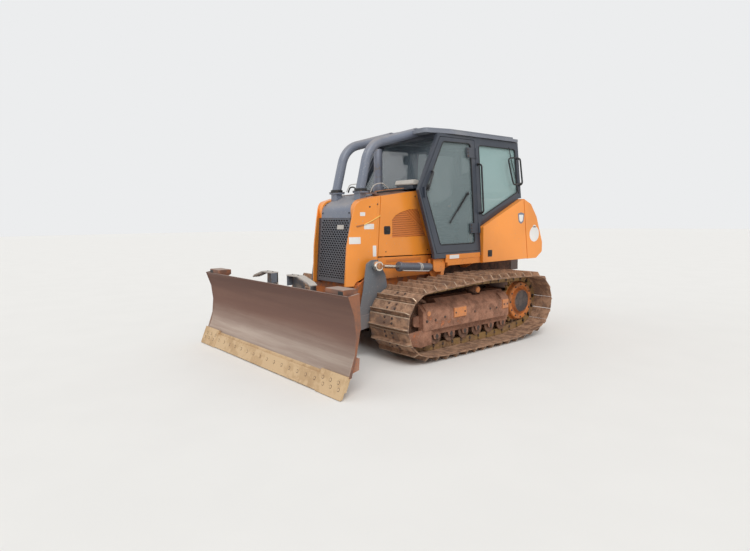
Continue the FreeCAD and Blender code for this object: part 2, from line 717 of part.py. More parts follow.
def cab_glass():
    """Fixed panes of the cab's sides and rear."""
    side = lean_left(slab(SIDE_GLASS, "x", CAB_LOW - 26.0, CAB_LOW - 18.0))
    rear = slab([(2918.0, 2000.0), (2926.0, 2000.0), (2906.0, 2560.0), (2898.0, 2560.0)], "x", -470.0, 470.0)
    return group(side, mirrored(side), rear)


def seat():
    """Driver's seat on its base."""
    base = box(-200.0, 200.0, 2000.0, 2380.0, CAVITY_FLOOR, 1640.0)
    cushion = slab([(1850.0, 1640.0), (2400.0, 1640.0), (2400.0, 1730.0), (1900.0, 1760.0, 20.0),
                    (1850.0, 1740.0, 20.0)], "x", -250.0, 250.0)
    back = slab([(2330.0, 1720.0), (2450.0, 1720.0), (2580.0, 2300.0, 40.0), (2480.0, 2320.0, 40.0)],
                "x", -230.0, 230.0)
    return join(base, cushion, back)


def console():
    """Dash tower and arm consoles with their levers."""
    dash = slab([(1329.0, FLOOR_TOP), (1450.0, FLOOR_TOP), (1400.0, 1860.0), (1240.0, 1940.0, 20.0), (1121.0, 1940.0)],
                "x", -220.0, 220.0)
    shapes = [dash]
    for x in (-380.0, 380.0):
        arm = box(x - 90.0, x + 90.0, 1995.0, 2400.0, CAVITY_FLOOR, 1830.0)
        stalk = rod((x, 2060.0, 1820.0), (x, 2040.0, 1990.0), 16.0)
        knob = rod((x, 2040.0, 1985.0), (x, 2035.0, 2045.0), 26.0)
        shapes.append(join(arm, stalk, knob))
    return group(*shapes)


def sweeps(roof):
    """Guard tubes from the hood to the roof's front edge, on flanged feet."""
    path = [(243.0, 285.0, 1946.0), (250.0, 300.0, 2467.0), (528.0, 1087.0, 2739.0)]
    bar = bent_tube(path, [350.0], 58.0)
    foot = slab([(160.0, 220.0, 20.0), (326.0, 220.0, 20.0), (326.0, 356.0, 20.0), (160.0, 356.0, 20.0)],
                "z", 1936.0, 1956.0)
    # Pedestal that stands on the shroud's slope
    pedestal = slab([(235.0, shroud_height(235.0)), (320.0, shroud_height(320.0)), (320.0, 1937.0), (235.0, 1937.0)],
                    "x", 180.0, 296.0)
    left = join(bar, foot, pedestal).cut(roof)
    return group(left, mirrored(left))


def exhaust_stack(top):
    """Exhaust pipe that stands on the hood's top."""
    x, station = STACK
    foot = 1968.0
    pipe = rod((x, station, foot), (x, station, 2525.0), 56.0)
    collar = rod((x, station, foot), (x, station, 2040.0), 72.0)
    return join(pipe, collar).cut(top)


def sill():
    """Step platform under a cab door, on brackets from the hull."""
    shapes = [box(460.0, 700.0, 1330.0, 1965.0, 1020.0, 1097.0)]
    for station in (1400.0, 1860.0):
        shapes.append(slab([(440.0, 950.0), (520.0, 950.0), (650.0, 1021.0), (650.0, 1060.0), (440.0, 1060.0)],
                           "y", station, station + 40.0))
    return join(*shapes)


def rear_body():
    """Tank and side boxes behind the cab."""
    corners = [(1985.0, HULL_TOP), (1985.0, 1497.0, 20.0), (2880.0, 1885.0, 30.0), (3054.0, 1810.0, 60.0),
               (3202.0, 1625.0, 90.0), (REAR_END, 1245.0, 60.0), (REAR_END, 1106.0, 40.0), (3209.0, HULL_TOP, 20.0)]
    inner = FENDER_HALF - PANEL - 6.0
    body = slab(corners, "x", -inner, inner)
    cavity = slab([(1900.0, CAVITY_FLOOR), (2870.0, CAVITY_FLOOR), (2870.0, 2000.0), (1900.0, 2000.0)],
                  "x", -500.0, 500.0)
    body = body.cut(cavity)
    pocket = [(2010.0, 1050.0), (2010.0, 1470.0), (2850.0, 1835.0), (2930.0, 1050.0)]
    body = body.cut(slab(pocket, "x", 540.0, FENDER_HALF))
    body = body.cut(slab(pocket, "x", -FENDER_HALF, -540.0))
    wing = [(2885.0, 1880.0), (3054.0, 1810.0, 60.0), (3202.0, 1625.0, 90.0), (REAR_END, 1245.0, 60.0),
            (REAR_END, 1106.0, 40.0), (3209.0, HULL_TOP, 20.0), (2998.0, HULL_TOP)]
    left = slab(wing, "x", inner - 1.0, FENDER_HALF)
    skirt = box(-440.0, 440.0, 3011.0, 3180.0, 830.0, 1030.0)
    return join(body, left, mirrored(left), skirt)


def rear_door():
    """Side door of the rear body."""
    corners = [(1980.0, 1022.0), (1980.0, 1505.0, 20.0), (2872.0, 1884.0, 20.0), (2984.0, 1022.0)]
    return slab(corners, "x", FENDER_HALF - PANEL, FENDER_HALF)


def drawbar():
    """Rear hitch plates with their pin hole."""
    plan = [(-90.0, 3030.0), (90.0, 3030.0), (90.0, 3290.0, 60.0), (-90.0, 3290.0, 60.0)]
    ears = [slab(plan, "z", low, low + HITCH_PLATE) for low in (HITCH_LOW, HITCH_HIGH)]
    back = box(-120.0, 120.0, 3010.0, 3060.0, HITCH_LOW - 30.0, HITCH_HIGH + HITCH_PLATE + 30.0)
    body = join(back, *ears)
    return body.cut(rod((0.0, HITCH_STATION, 300.0), (0.0, HITCH_STATION, 900.0), HITCH_BORE))


def grab_rails():
    """Hand rails on the cab's sides."""
    shapes = []
    # Rails (station at the top, station at the foot, height at the top, height at the foot, stand-off)
    for top, foot, high, low, reach in ((1999.0, 1999.0, 2333.0, 1685.0, 66.0),
                                        (2880.0, 2912.0, 2463.0, 2086.0, 56.0)):
        seat_gap = 1.6
        ends = [(side_x(low) + seat_gap, foot, low), (side_x(low) + reach, foot, low),
                (side_x(high) + reach, top, high), (side_x(high) + seat_gap, top, high)]
        rail = bent_tube(ends, [40.0, 40.0], 12.0)
        for x, station, z in (ends[0], ends[3]):
            rail = join(rail, rod((x, station, z), (x + 8.0, station, z), 20.0))
        shapes += [rail, mirrored(rail)]
    return group(*shapes)


def work_lamps():
    """Lamps under the roof's rear rim."""
    return group(*[box(x - 60.0, x + 60.0, 2919.0, 2980.0, 2600.0, 2692.0) for x in (-420.0, 420.0)])


# Lift frame and blade
def lift_frame():
    """C-shaped push frame: arms beside the hull, cylinder horns, cross beam and nose."""
    arm = slab([(860.0, 470.0, 40.0), (860.0, 570.0, 40.0), (660.0, 580.0), (80.0, 520.0), (-270.0, 500.0),
                (-270.0, 330.0), (-120.0, 330.0), (660.0, 460.0)], "x", 500.0, 575.0)
    arm = arm.cut(rod((480.0, LIFT_PIVOT[1], LIFT_PIVOT[2]), (600.0, LIFT_PIVOT[1], LIFT_PIVOT[2]), 46.5))
    horn = slab([(0.0, 500.0), (70.0, 800.0), (120.0, 1110.0, 30.0), (190.0, 1150.0, 50.0), (290.0, 1150.0, 50.0),
                 (400.0, 960.0), (480.0, 540.0)], "x", 534.0, 556.0)
    pin = rod((550.0, LIFT_EYE[1], LIFT_EYE[2]), (588.0, LIFT_EYE[1], LIFT_EYE[2]), 50.0)
    left = join(arm, horn, pin)
    beam = box(-575.0, 575.0, -270.0, -120.0, 330.0, 510.0)
    nose = box(-120.0, 120.0, -440.0, -260.0, 345.0, 545.0)
    shapes = [left, mirrored(left), beam, nose]
    for low, high in ((345.0, 385.0), (505.0, 545.0)):
        shapes.append(slab([(-85.0, -430.0), (85.0, -430.0), (85.0, -625.0, 84.0), (-85.0, -625.0, 84.0)],
                           "z", low, high))
    shapes.append(rod((0, NOSE_PIN[1], 345.0), (0, NOSE_PIN[1], 545.0), 40.0))
    for low, high in ((380.0, 398.0), (492.0, 510.0)):
        lug = slab([(100.0, -265.0), (300.0, -265.0), (268.0, -436.0, 44.0), (150.0, -436.0, 44.0), (100.0, -380.0)],
                   "z", low, high)
        shapes += [lug, mirrored(lug)]
    return join(*shapes)


def blade_swivel():
    """Yoke on the nose pin that turns the blade, with its towers and cylinder lugs."""
    hub = rod((0, NOSE_PIN[1], 392.0), (0, NOSE_PIN[1], 498.0), 80.0)
    neck = box(-80.0, 80.0, -700.0, -540.0, 392.0, 498.0)
    beam = box(-560.0, 560.0, -735.0, -665.0, 385.0, 505.0)
    shapes = [hub, neck, beam]
    for low, high in ((398.0, 416.0), (474.0, 492.0)):
        lug = slab([(540.0, -735.0), (800.0, -735.0, 40.0), (812.0, -640.0, 45.0), (720.0, -640.0, 30.0),
                    (540.0, -690.0)], "z", low, high)
        shapes += [lug, mirrored(lug)]
    shapes.append(rod((0, -800.0, 445.0), (0, -730.0, 445.0), 60.0))
    # Ears of the tilt cylinder, above and below the beam's ends
    for front in (-760.0, -656.0):
        shapes.append(slab([(-230.0, 450.0), (-230.0, 820.0, 30.0), (-110.0, 820.0, 30.0), (-60.0, 450.0)],
                           "y", front, front + 16.0))
    shapes.append(box(-246.0, -226.0, -760.0, -640.0, 450.0, 800.0))
    shapes.append(box(-246.0, -60.0, -760.0, -640.0, 450.0, 500.0))
    # Hose guards with sloped tops that rise above the blade
    for side in (-1, 1):
        plate = slab([(side * 170.0, 505.0), (side * 170.0, 1010.0), (side * 400.0, 1010.0), (side * 440.0, 505.0)],
                     "y", -648.0, -634.0)
        slope = slab([(side * 395.0, 1010.0), (side * 590.0, 955.0), (side * 590.0, 941.0), (side * 395.0, 996.0)],
                     "y", -720.0, -636.0)
        foot = box(min(side * 170.0, side * 440.0), max(side * 170.0, side * 440.0), -690.0, -634.0, 490.0, 512.0)
        shapes += [plate, slope, foot]
    body = join(*shapes)
    return body.cut(rod((0, NOSE_PIN[1], 300.0), (0, NOSE_PIN[1], 600.0), 41.5))


def mold_station(z):
    """Station of the moldboard's hollow face at a height."""
    centre = MOLD_DEPTH_AT[0] - MOLD_RADIUS
    return centre + math.sqrt(MOLD_RADIUS ** 2 - (z - MOLD_DEPTH_AT[1]) ** 2)


def arc_band(front_shift, back_shift, low, high):
    """Band that follows the moldboard's curve between two heights, extruded across the blade."""
    half = BLADE_WIDTH / 2.0
    mid = (low + high) / 2.0
    front = [point(-half, mold_station(z) + front_shift, z) for z in (low, mid, high)]
    back = [point(-half, mold_station(z) + back_shift, z) for z in (high, mid, low)]
    edges = [Part.Arc(*front).toShape(), Part.LineSegment(front[2], back[0]).toShape(),
             Part.Arc(*back).toShape(), Part.LineSegment(back[2], front[0]).toShape()]
    return Part.Face(Part.Wire(edges)).extrude(point(2 * half, 0, 0))


def moldboard():
    """Curved blade plate with its side plates and the boxes on its top corners."""
    half = BLADE_WIDTH / 2.0
    plate = arc_band(0.0, MOLD_THICK, MOLD_FOOT, BLADE_TOP)
    shapes = [plate]
    side = [(mold_station(BLADE_TOP), BLADE_TOP), (-795.0, 961.0), (-785.0, 640.0), (-838.0, 400.0), (-900.0, MOLD_FOOT)]
    side += [(mold_station(z), z) for z in (MOLD_FOOT, 400.0, 575.0, 760.0)]
    cheek = slab(side, "x", half - 22.0, half)
    shapes += [cheek, mirrored(cheek)]
    cap = slab([(-905.0, 905.0), (-905.0, 990.0, 10.0), (-745.0, 990.0, 10.0), (-745.0, 930.0, 10.0), (-850.0, 880.0)],
               "x", half - 385.0, half - 95.0)
    shapes += [cap, mirrored(cap)]
    return join(*shapes)


def blade_back(plate):
    """Ribs and beams seated on the moldboard's back, with the tilt hub and the tilt cylinder's lugs."""
    half = BLADE_WIDTH / 2.0 - 30.0
    back = MOLD_THICK - 1.0
    top = slab([(mold_station(910.0) + back, 910.0), (-800.0, 905.0), (-775.0, 830.0),
                (mold_station(780.0) + back, 780.0)], "x", -half, half)
    low = slab([(mold_station(360.0) + back, 360.0), (-780.0, 350.0), (-790.0, 240.0),
                (mold_station(215.0) + back, 215.0)], "x", -half, half)
    shapes = [top, low]
    for x in (-1290.0, -930.0, -520.0, 500.0, 930.0, 1290.0):
        shapes.append(slab([(mold_station(800.0) + back, 800.0), (-782.0, 800.0), (-782.0, 345.0),
                            (mold_station(345.0) + back, 345.0), (mold_station(575.0) + back, 575.0)],
                           "x", x - 10.0, x + 10.0))
    shapes.append(slab([(mold_station(640.0) + back, 640.0), (-788.0, 640.0), (-788.0, 250.0),
                        (mold_station(250.0) + back, 250.0), (mold_station(445.0) + back, 445.0)],
                       "x", -260.0, 260.0))
    shapes.append(rod((0, -795.0, 445.0), (0, -768.0, 445.0), 100.0))
    # Lugs of the tilt cylinder's rod
    for front in (-736.0, -680.0):
        shapes.append(slab([(360.0, 745.0, 25.0), (360.0, 815.0, 25.0), (480.0, 815.0), (480.0, 745.0)],
                           "y", front, front + 16.0))
    shapes.append(slab([(448.0, 740.0), (480.0, 740.0), (480.0, 820.0), (448.0, 820.0)], "y", -800.0, -664.0))
    body = join(*shapes).cut(plate)
    return body.cut(rod((0, -803.0, 445.0), (0, -700.0, 445.0), 61.5))


def cutting_edge(plate):
    """Bolted edge plates along the blade's foot, taller at its ends, bedded against the moldboard."""
    half = BLADE_WIDTH / 2.0
    thick = 24.0
    seam = (mold_station(MOLD_FOOT), MOLD_FOOT)
    tip = (BLADE_TIP, 8.0)
    rise = math.atan2(seam[1] - tip[1], seam[0] - tip[0]) + math.asin(thick / math.dist(seam, tip))

    def at(up, depth):
        """Point up the front face's slope from the tip, and behind that face."""
        return (tip[0] + up * math.cos(rise) + depth * math.sin(rise),
                tip[1] + up * math.sin(rise) - depth * math.cos(rise))
    backing = [at(80.0, thick), seam, (seam[0] + MOLD_THICK, MOLD_FOOT), at(80.0, thick + 20.0)]
    shapes = [slab(backing, "x", -half, half)]
    # Middle plate and end bits (height up the slope, set-back of the front face, from x, to x)
    for top, front, start, end in ((176.0, 4.0, -half + 412.0, half - 412.0),
                                   (224.0, 0.0, -half, -half + 410.0), (224.0, 0.0, half - 410.0, half)):
        section = [at(front * 2.0, front), at(top, front), at(top, thick), at(16.0, thick)]
        shapes.append(slab(section, "x", start, end))
    return join(*shapes).cut(plate)


# Cylinders
def barrel(start, end, length, radius, eye_radius, width, axis, neck):
    """Barrel from its pin eye towards the rod, on a neck that clears its lugs, hollow for the rod."""
    a = point(*start)
    b = point(*end)
    d = b - a
    d.normalize()
    step = point(*[width / 2.0 if axis == name else 0 for name in "xyz"])
    eye = Part.makeCylinder(eye_radius, width, a - step, step)
    stem = Part.makeCylinder(width / 2.0 - 3.0, neck + 5.0, a, d)
    body = Part.makeCylinder(radius, length - neck, a + d * neck, d)
    head = Part.makeCylinder(radius + 4.0, 46.0, a + d * (length - 46.0), d)
    solid = join(eye, stem, body, head)
    bore = Part.makeCylinder(radius * 0.62 + 1.0, length, a + d * (neck + 20.0), d)
    return solid.cut(bore)


def piston_rod(start, end, inside, radius, eye_radius, width, axis):
    """Bright rod from inside its barrel to its eye."""
    a = point(*start)
    b = point(*end)
    d = a - b
    d.normalize()
    step = point(*[width / 2.0 if axis == name else 0 for name in "xyz"])
    eye = Part.makeCylinder(eye_radius, width, b - step, step)
    shank = Part.makeCylinder(radius, inside, b, d)
    return join(eye, shank)


LIFT_RUN = math.dist(LIFT_BARREL_PIN, LIFT_EYE)
ANGLE_RUN = math.dist(ANGLE_BARREL_PIN, ANGLE_EYE)
TILT_RUN = math.dist(TILT_BARREL_PIN, TILT_EYE)


# Pieces of the running gear
save_pair("track", track())
for name, left in (("track_frames", track_frame()), ("idlers", idler()), ("sprockets", sprocket()),
                   ("rollers", rollers())):
    save_both(name, left)

# Pieces of the hull and hood
save_both("hull_sides", hull_side())
save("hull_plates", hull_plates())
save("cross_members", cross_members())
save("cross_shafts", cross_shafts())
save("hood_frame", hood_frame())
save("lift_brackets", lift_brackets())
save("engine_block", engine_block())
save("radiator", radiator())
save("grille", grille())
save("hood_shroud", hood_shroud())
top = hood_top()
save("hood_top", top)
save("exhaust_stack", exhaust_stack(top))
save_both("front_panels", front_panel())
save_pair("engine_door", engine_door())

# Pieces of the cab and rear
roof = cab_roof()
save("cab_roof", roof)
save("sweeps", sweeps(roof))
save_both("cab_sides", cab_side())
save_both("cab_lining", cab_lining())
save("cab_walls", cab_walls())
save("windshield", windshield())
save("cab_glass", cab_glass())
save_pair("cab_door", cab_door())
save_pair("door_glass", door_glass())
save("seat", seat())
save("console", console())
save_both("sills", sill())
save("rear_body", rear_body())
save_pair("rear_door", rear_door())
save("drawbar", drawbar())
save("grab_rails", grab_rails())
save("work_lamps", work_lamps())

# Pieces of the working gear
save("lift_frame", lift_frame())
save("blade_swivel", blade_swivel())
blade_plate = moldboard()
save("moldboard", blade_plate)
save("blade_back", blade_back(blade_plate))
save("cutting_edge", cutting_edge(blade_plate))
save_pair("lift_barrel", barrel(LIFT_BARREL_PIN, LIFT_EYE, 602.0, 52.0, 42.0, 52.0, "x", 75.0))
save_pair("lift_rod", piston_rod(LIFT_BARREL_PIN, LIFT_EYE, LIFT_RUN - 540.0, 24.0, 55.0, 52.0, "x"))
save_pair("angle_barrel", barrel(ANGLE_BARREL_PIN, ANGLE_EYE, 290.0, 42.0, 38.0, 88.0, "z", 40.0))
save_pair("angle_rod", piston_rod(ANGLE_BARREL_PIN, ANGLE_EYE, ANGLE_RUN - 200.0, 19.0, 36.0, 44.0, "z"))
save("tilt_barrel", barrel(TILT_BARREL_PIN, TILT_EYE, 330.0, 38.0, 34.0, 80.0, "y", 36.0))
save("tilt_rod", piston_rod(TILT_BARREL_PIN, TILT_EYE, TILT_RUN - 250.0, 17.0, 32.0, 36.0, "y"))
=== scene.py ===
import bmesh
import bpy
import math
import random
from mathutils import Matrix, Vector


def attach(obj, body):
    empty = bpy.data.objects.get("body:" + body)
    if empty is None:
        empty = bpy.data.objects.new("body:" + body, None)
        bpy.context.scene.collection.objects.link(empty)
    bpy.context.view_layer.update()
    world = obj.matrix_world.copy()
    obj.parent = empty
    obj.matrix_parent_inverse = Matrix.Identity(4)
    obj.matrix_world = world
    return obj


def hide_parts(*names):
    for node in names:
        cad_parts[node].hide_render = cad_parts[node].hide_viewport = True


# A worn orange crawler bulldozer, dressed on its CAD frame.
# Shapes are drawn in millimetres: x to the machine's left, s behind the grille's foot, z up.

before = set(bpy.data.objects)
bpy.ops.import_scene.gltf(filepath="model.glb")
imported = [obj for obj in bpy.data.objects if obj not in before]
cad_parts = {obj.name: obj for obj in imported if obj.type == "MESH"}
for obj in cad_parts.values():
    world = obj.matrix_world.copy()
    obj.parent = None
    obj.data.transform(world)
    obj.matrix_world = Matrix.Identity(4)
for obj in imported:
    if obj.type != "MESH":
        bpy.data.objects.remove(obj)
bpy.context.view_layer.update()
random.seed(7)

MIDDLE = 1160.5                # station of the frame's origin
CAB_LOW = 697                  # half width of the cab at the doors' foot
CAB_LEAN = math.atan(0.0716)   # lean of the cab's sides from the upright
DOOR_FOOT = 1181               # height of the doors' foot, about which the sides lean
HOOD = 485                     # half width over the engine doors
FENDER = 741                   # half width over the rear body
GRILLE_FOOT = 867              # height of the grille's foot
TUBE_FOOT = (243, 285)         # foot of a guard tube (x, station)
TRACK_X = 920                  # half gauge of the tracks
TRACK_OUT = 1250               # half width over the shoes
SHOE_WIDTH = 660
SHOE_COUNT = 38
ROLLER_PITCH = 252             # between two track rollers
IDLER = (480, 452)             # axles (station, height)
CARRIER = (1547, 722)
SPROCKET = (2478, 480)
REAR_ROLLER = (2053, 233)
FRONT_ROLLER = (793, 233)
LIFT_EYE = (620, 233, 1082)
LIFT_PIN = (620, 1150, 1005)
OUT = (1, 0, 0)                # directions
UP = (0, 0, 1)
SIDES = ((1, "left"), (-1, "right"))


def at(x, s, z):
    """Point in the frame's metres."""
    return Vector((x / 1000, (s - MIDDLE) / 1000, z / 1000))


def leaned(x, s, z):
    """Point drawn on an upright cab side, leaned to the cab's tumblehome."""
    across = x - CAB_LOW
    up = z - DOOR_FOOT
    return (CAB_LOW + across * math.cos(CAB_LEAN) - up * math.sin(CAB_LEAN), s,
            DOOR_FOOT + across * math.sin(CAB_LEAN) + up * math.cos(CAB_LEAN))


def tint(colour):
    """Linear colour of an sRGB triple from 0 to 255. A linear colour comes back as it is."""
    if len(colour) == 4:
        return colour
    parts = [value / 255 for value in colour]
    return (*(c / 12.92 if c <= 0.04045 else ((c + 0.055) / 1.055) ** 2.4 for c in parts), 1.0)


def scaled(colour, factor, lift=0.0):
    """A colour made lighter or darker."""
    return tuple(min(1.0, c * factor + lift) for c in tint(colour)[:3]) + (1.0,)


# Colours that more than one material has
ORANGE = (236, 144, 50)
BLACK = (28, 28, 31)
CLAY = (176, 126, 100)
MUD = (142, 108, 90)
MUD_DARK = (92, 66, 56)
DRY = (196, 170, 146)
STEEL = (170, 166, 160)


# Materials
class Field:
    """A number over the surface: a node's output that can be added to, taken from and multiplied."""

    def __init__(self, graph, socket):
        self.graph = graph
        self.socket = socket

    def __add__(self, other):
        return self.graph.math("ADD", self, other)

    def __sub__(self, other):
        return self.graph.math("SUBTRACT", self, other)

    def __mul__(self, other):
        return self.graph.math("MULTIPLY", self, other)


class Graph:
    """Node graph of one material, on object coordinates in metres."""

    def __init__(self, name):
        self.material = bpy.data.materials.new(name)
        self.material.use_nodes = True
        self.nodes = self.material.node_tree.nodes
        self.links = self.material.node_tree.links
        self.shader = self.nodes["Principled BSDF"].inputs
        coords = self.nodes.new("ShaderNodeTexCoord").outputs
        self.place = coords["Object"]
        self.spot = self.parts(self.place)
        self.facing = self.parts(coords["Normal"])

    def parts(self, vector):
        """The three numbers of a vector."""
        return [Field(self, output) for output in self.new("ShaderNodeSeparateXYZ", {0: vector}).outputs]

    def feed(self, socket, value):
        """Links a field to a socket, or sets the socket to a plain value."""
        if isinstance(value, Field):
            value = value.socket
        if isinstance(value, bpy.types.NodeSocket):
            self.links.new(value, socket)
        else:
            socket.default_value = tint(value) if socket.type == "RGBA" else value

    def new(self, kind, inputs, **settings):
        node = self.nodes.new(kind)
        for key, value in settings.items():
            setattr(node, key, value)
        for key, value in inputs.items():
            self.feed(node.inputs[key], value)
        return node

    def math(self, operation, a, b=0.0, clamp=False):
        return Field(self, self.new("ShaderNodeMath", {0: a, 1: b}, operation=operation, use_clamp=clamp).outputs[0])

    def noise(self, scale, detail=4.0, rough=0.55, stretch=None):
        vector = self.new("ShaderNodeMapping", {0: self.place, 3: stretch}).outputs[0] if stretch else self.place
        inputs = {"Vector": vector, "Scale": scale, "Detail": detail, "Roughness": rough}
        return Field(self, self.new("ShaderNodeTexNoise", inputs).outputs["Fac"])

    def wave(self, scale, across, distortion=0.0):
        inputs = {"Vector": self.place, "Scale": scale, "Distortion": distortion}
        return Field(self, self.new("ShaderNodeTexWave", inputs, bands_direction=across).outputs["Fac"])

    def ramp(self, value, low, high, out_low=0.0, out_high=1.0):
        inputs = {0: value, 1: low, 2: high, 3: out_low, 4: out_high}
        return Field(self, self.new("ShaderNodeMapRange", inputs, interpolation_type="SMOOTHSTEP").outputs[0])

    def mix(self, factor, a, b):
        return Field(self, self.new("ShaderNodeMix", {0: factor, 6: a, 7: b}, data_type="RGBA").outputs[2])

    def radius(self, axle):
        """Distance of a point from an axle (station, height) that runs across the machine."""
        along = self.spot[1] - (axle[0] - MIDDLE) / 1000
        up = self.spot[2] - axle[1] / 1000
        return self.math("SQRT", along * along + up * up)

    def finish(self, colour, rough, height, depth=0.001, **others):
        """Joins colour, roughness, bump and any other inputs to the shader, by their names."""
        bump = self.new("ShaderNodeBump", {"Height": height, "Distance": depth}).outputs[0] if height else None
        for name, value in (("Base Color", colour), ("Roughness", rough), ("Normal", bump), *others.items()):
            if value is not None:
                self.feed(self.shader[name.replace("_", " ")], value)
        self.material.diffuse_color = (0.5, 0.5, 0.5, 1.0)
        return self.material


def soil(g, top, low, splash, patch):
    """How soiled a point is: dust on upward faces, splashes low down, and loose patches."""
    cloud = g.noise(2.6, 6.0, 0.62)
    fine = g.noise(31, 5.0, 0.65)
    both = cloud * 0.7 + fine * 0.3
    upward = g.ramp(g.facing[2], 0.3, 0.95) * top
    height = g.ramp(g.spot[2], splash, splash * 0.35) * low
    spread = (upward + height) * g.ramp(both, 0.3, 0.58, 0.35, 1.0)
    loose = g.ramp(both, 0.5, 0.64) * patch
    return g.math("ADD", spread, loose, clamp=True), fine


def painted(name, base, rough=0.36, dust=CLAY, top=0.45, low=0.45, splash=1.3, patch=0.12, chips=0.0,
            chip_colour=STEEL, under=0.0, **others):
    """Paint that has faded a little, with dust, splashes and chips to the metal, and below a height a soil-brown
    painted shade.
    """
    g = Graph(name)
    fade = g.noise(0.9, 3.0, 0.5)
    colour = g.mix(g.ramp(fade, 0.3, 0.7), scaled(base, 0.9), scaled(base, 1.16, 0.006))
    dirt, fine = soil(g, top, low, splash, patch)
    colour = g.mix(dirt, colour, dust)
    height = fine * g.ramp(dirt, 0.1, 0.9, 0.15, 1.0)
    if chips:
        bare = g.ramp(g.noise(58, 3.0, 0.7), 0.7 - chips * 0.1, 0.72 - chips * 0.1)
        colour = g.mix(bare, colour, chip_colour)
    # Below the height the colour turns soil-brown: painted shade
    if under:
        colour = g.mix(g.ramp(g.spot[2], under, under - 0.03), colour, (84, 60, 50))
    return g.finish(colour, g.ramp(dirt, 0.0, 1.0, rough, 0.86), height, 0.0006, **others)


def crusted(name, base, crust, deep, cover, depth=0.006, scale=9.0, metal=0.0, rough=0.5):
    """Steel or paint under dried mud, which lies thick in patches and thin elsewhere."""
    g = Graph(name)
    wide = g.noise(3.0, 4.0, 0.6)
    lumps = g.noise(scale, 8.0, 0.68)
    grit = g.noise(85, 4.0, 0.7)
    cake = g.ramp(wide * 0.5 + lumps * 0.5, 0.56 - cover * 0.3, 0.66 - cover * 0.3)
    cake = g.math("ADD", cake, g.ramp(g.facing[2], 0.2, 0.9, 0.0, 0.6), clamp=True)
    mud = g.mix(g.ramp(lumps, 0.32, 0.66), deep, crust)
    mud = g.mix(g.ramp(grit, 0.45, 0.8, 0.0, 0.35), mud, DRY)
    height = (lumps * 0.8 + grit * 0.2) * g.ramp(cake, 0.0, 1.0, 0.25, 1.0)
    return g.finish(g.mix(cake, base, mud), g.ramp(cake, 0.0, 1.0, rough, 0.92), height, depth, Metallic=metal)


def hull_paint():
    """Paint of the hull: orange and dusty beside the engine, soil-brown with painted shade from the lift brackets
    back, and darker towards the bottom.
    """
    g = Graph("hull_dirt")
    lumps = g.noise(8.0, 7.0, 0.68)
    grit = g.noise(70, 4.0, 0.7)
    fore = g.mix(g.ramp(lumps, 0.42, 0.6), (204, 116, 56), (150, 104, 82))
    # From the lift brackets back: soil-brown with painted shade
    aft_soil_and_shade = g.mix(g.ramp(lumps, 0.36, 0.66), (62, 46, 40), (112, 82, 66))
    colour = g.mix(g.ramp(g.spot[1] + (lumps - 0.5) * 0.5, 0.02, 0.14), fore, aft_soil_and_shade)
    # Darker towards the bottom
    colour = g.mix(g.ramp(g.spot[2], 0.8, 0.55) * 0.7, colour, (84, 62, 52))
    return g.finish(colour, 0.86, lumps + grit * 0.2, 0.003)


def worn_steel(name, shade, rough, grime):
    """Steel rubbed bright by the ground, with grime left in its hollows."""
    g = Graph(name)
    blotch = g.noise(14, 5.0, 0.6)
    scratch = g.noise(60, 4.0, 0.7)
    colour = g.mix(g.ramp(blotch, 0.42, 0.66, 0.0, grime), shade, MUD)
    colour = g.mix(g.ramp(scratch, 0.5, 0.8, 0.0, 0.25), colour, MUD_DARK)
    return g.finish(colour, g.ramp(blotch, 0.35, 0.7, rough, rough + 0.3), scratch, 0.0004, Metallic=0.55)


def blade_face():
    """Moldboard: dusty brown at its top, polished by the soil towards its foot, rusty at its ends and back."""
    g = Graph("moldboard_steel")
    wide = g.noise(1.1, 5.0, 0.6, (0.35, 1.0, 1.6))
    wipe = g.noise(9.0, 6.0, 0.65, (0.05, 1.0, 1.0))
    height = g.spot[2] + (wide - 0.5) * 0.22
    polish = g.ramp(height, 0.6, 0.24)
    brown = g.mix(g.ramp(height, 0.95, 0.55), (94, 64, 54), (112, 80, 68))
    brown = g.mix(g.ramp(wipe, 0.42, 0.7, 0.0, 0.3), brown, (132, 98, 82))
    bright = g.mix(g.ramp(wipe, 0.35, 0.7), (150, 128, 114), (176, 158, 144))
    # Where the face ends: behind, on the two ends and along the upper edge
    fore = g.facing[1]
    ends = g.math("GREATER_THAN", g.math("ABSOLUTE", g.spot[0]), 1.5735)
    other = g.math("MAXIMUM", g.ramp(fore, -0.25, 0.15), ends * g.ramp(fore, -0.95, -0.6), clamp=True)
    other = g.math("MAXIMUM", other, g.ramp(g.spot[2], 0.944, 0.950))
    blotch = g.noise(6.0, 6.0, 0.65)
    back_paint = g.mix(g.ramp(blotch, 0.38, 0.62), (146, 96, 70), (112, 84, 72))
    back_paint = g.mix(g.ramp(g.facing[2], 0.5, 0.9), back_paint, (158, 138, 126))
    colour = g.mix(other, g.mix(polish, brown, bright), back_paint)
    rough = g.math("MAXIMUM", g.ramp(polish, 0.0, 1.0, 0.72, 0.36), other * 0.8)
    metal = g.math("MULTIPLY", polish, g.math("SUBTRACT", 0.35, other * 0.35), clamp=True)
    return g.finish(colour, rough, wipe, 0.0012, Metallic=metal)


def sprocket_paint():
    """Orange rim round a dark worn centre, with yellowed teeth."""
    g = Graph("sprocket_paint")
    away = g.radius(SPROCKET)
    blotch = g.noise(9.0, 6.0, 0.66)
    rim = g.mix(g.ramp(blotch, 0.4, 0.6), (204, 122, 58), (160, 106, 70))
    centre = g.mix(g.ramp(blotch, 0.38, 0.62), (96, 84, 78), (74, 68, 68))
    teeth = g.mix(g.ramp(blotch, 0.36, 0.6), (176, 134, 74), (120, 94, 74))
    colour = g.mix(g.ramp(away, 0.142, 0.158), centre, rim)
    colour = g.mix(g.ramp(away, 0.270, 0.280), colour, teeth)
    return g.finish(colour, g.ramp(blotch, 0.3, 0.7, 0.55, 0.85), blotch, 0.003)


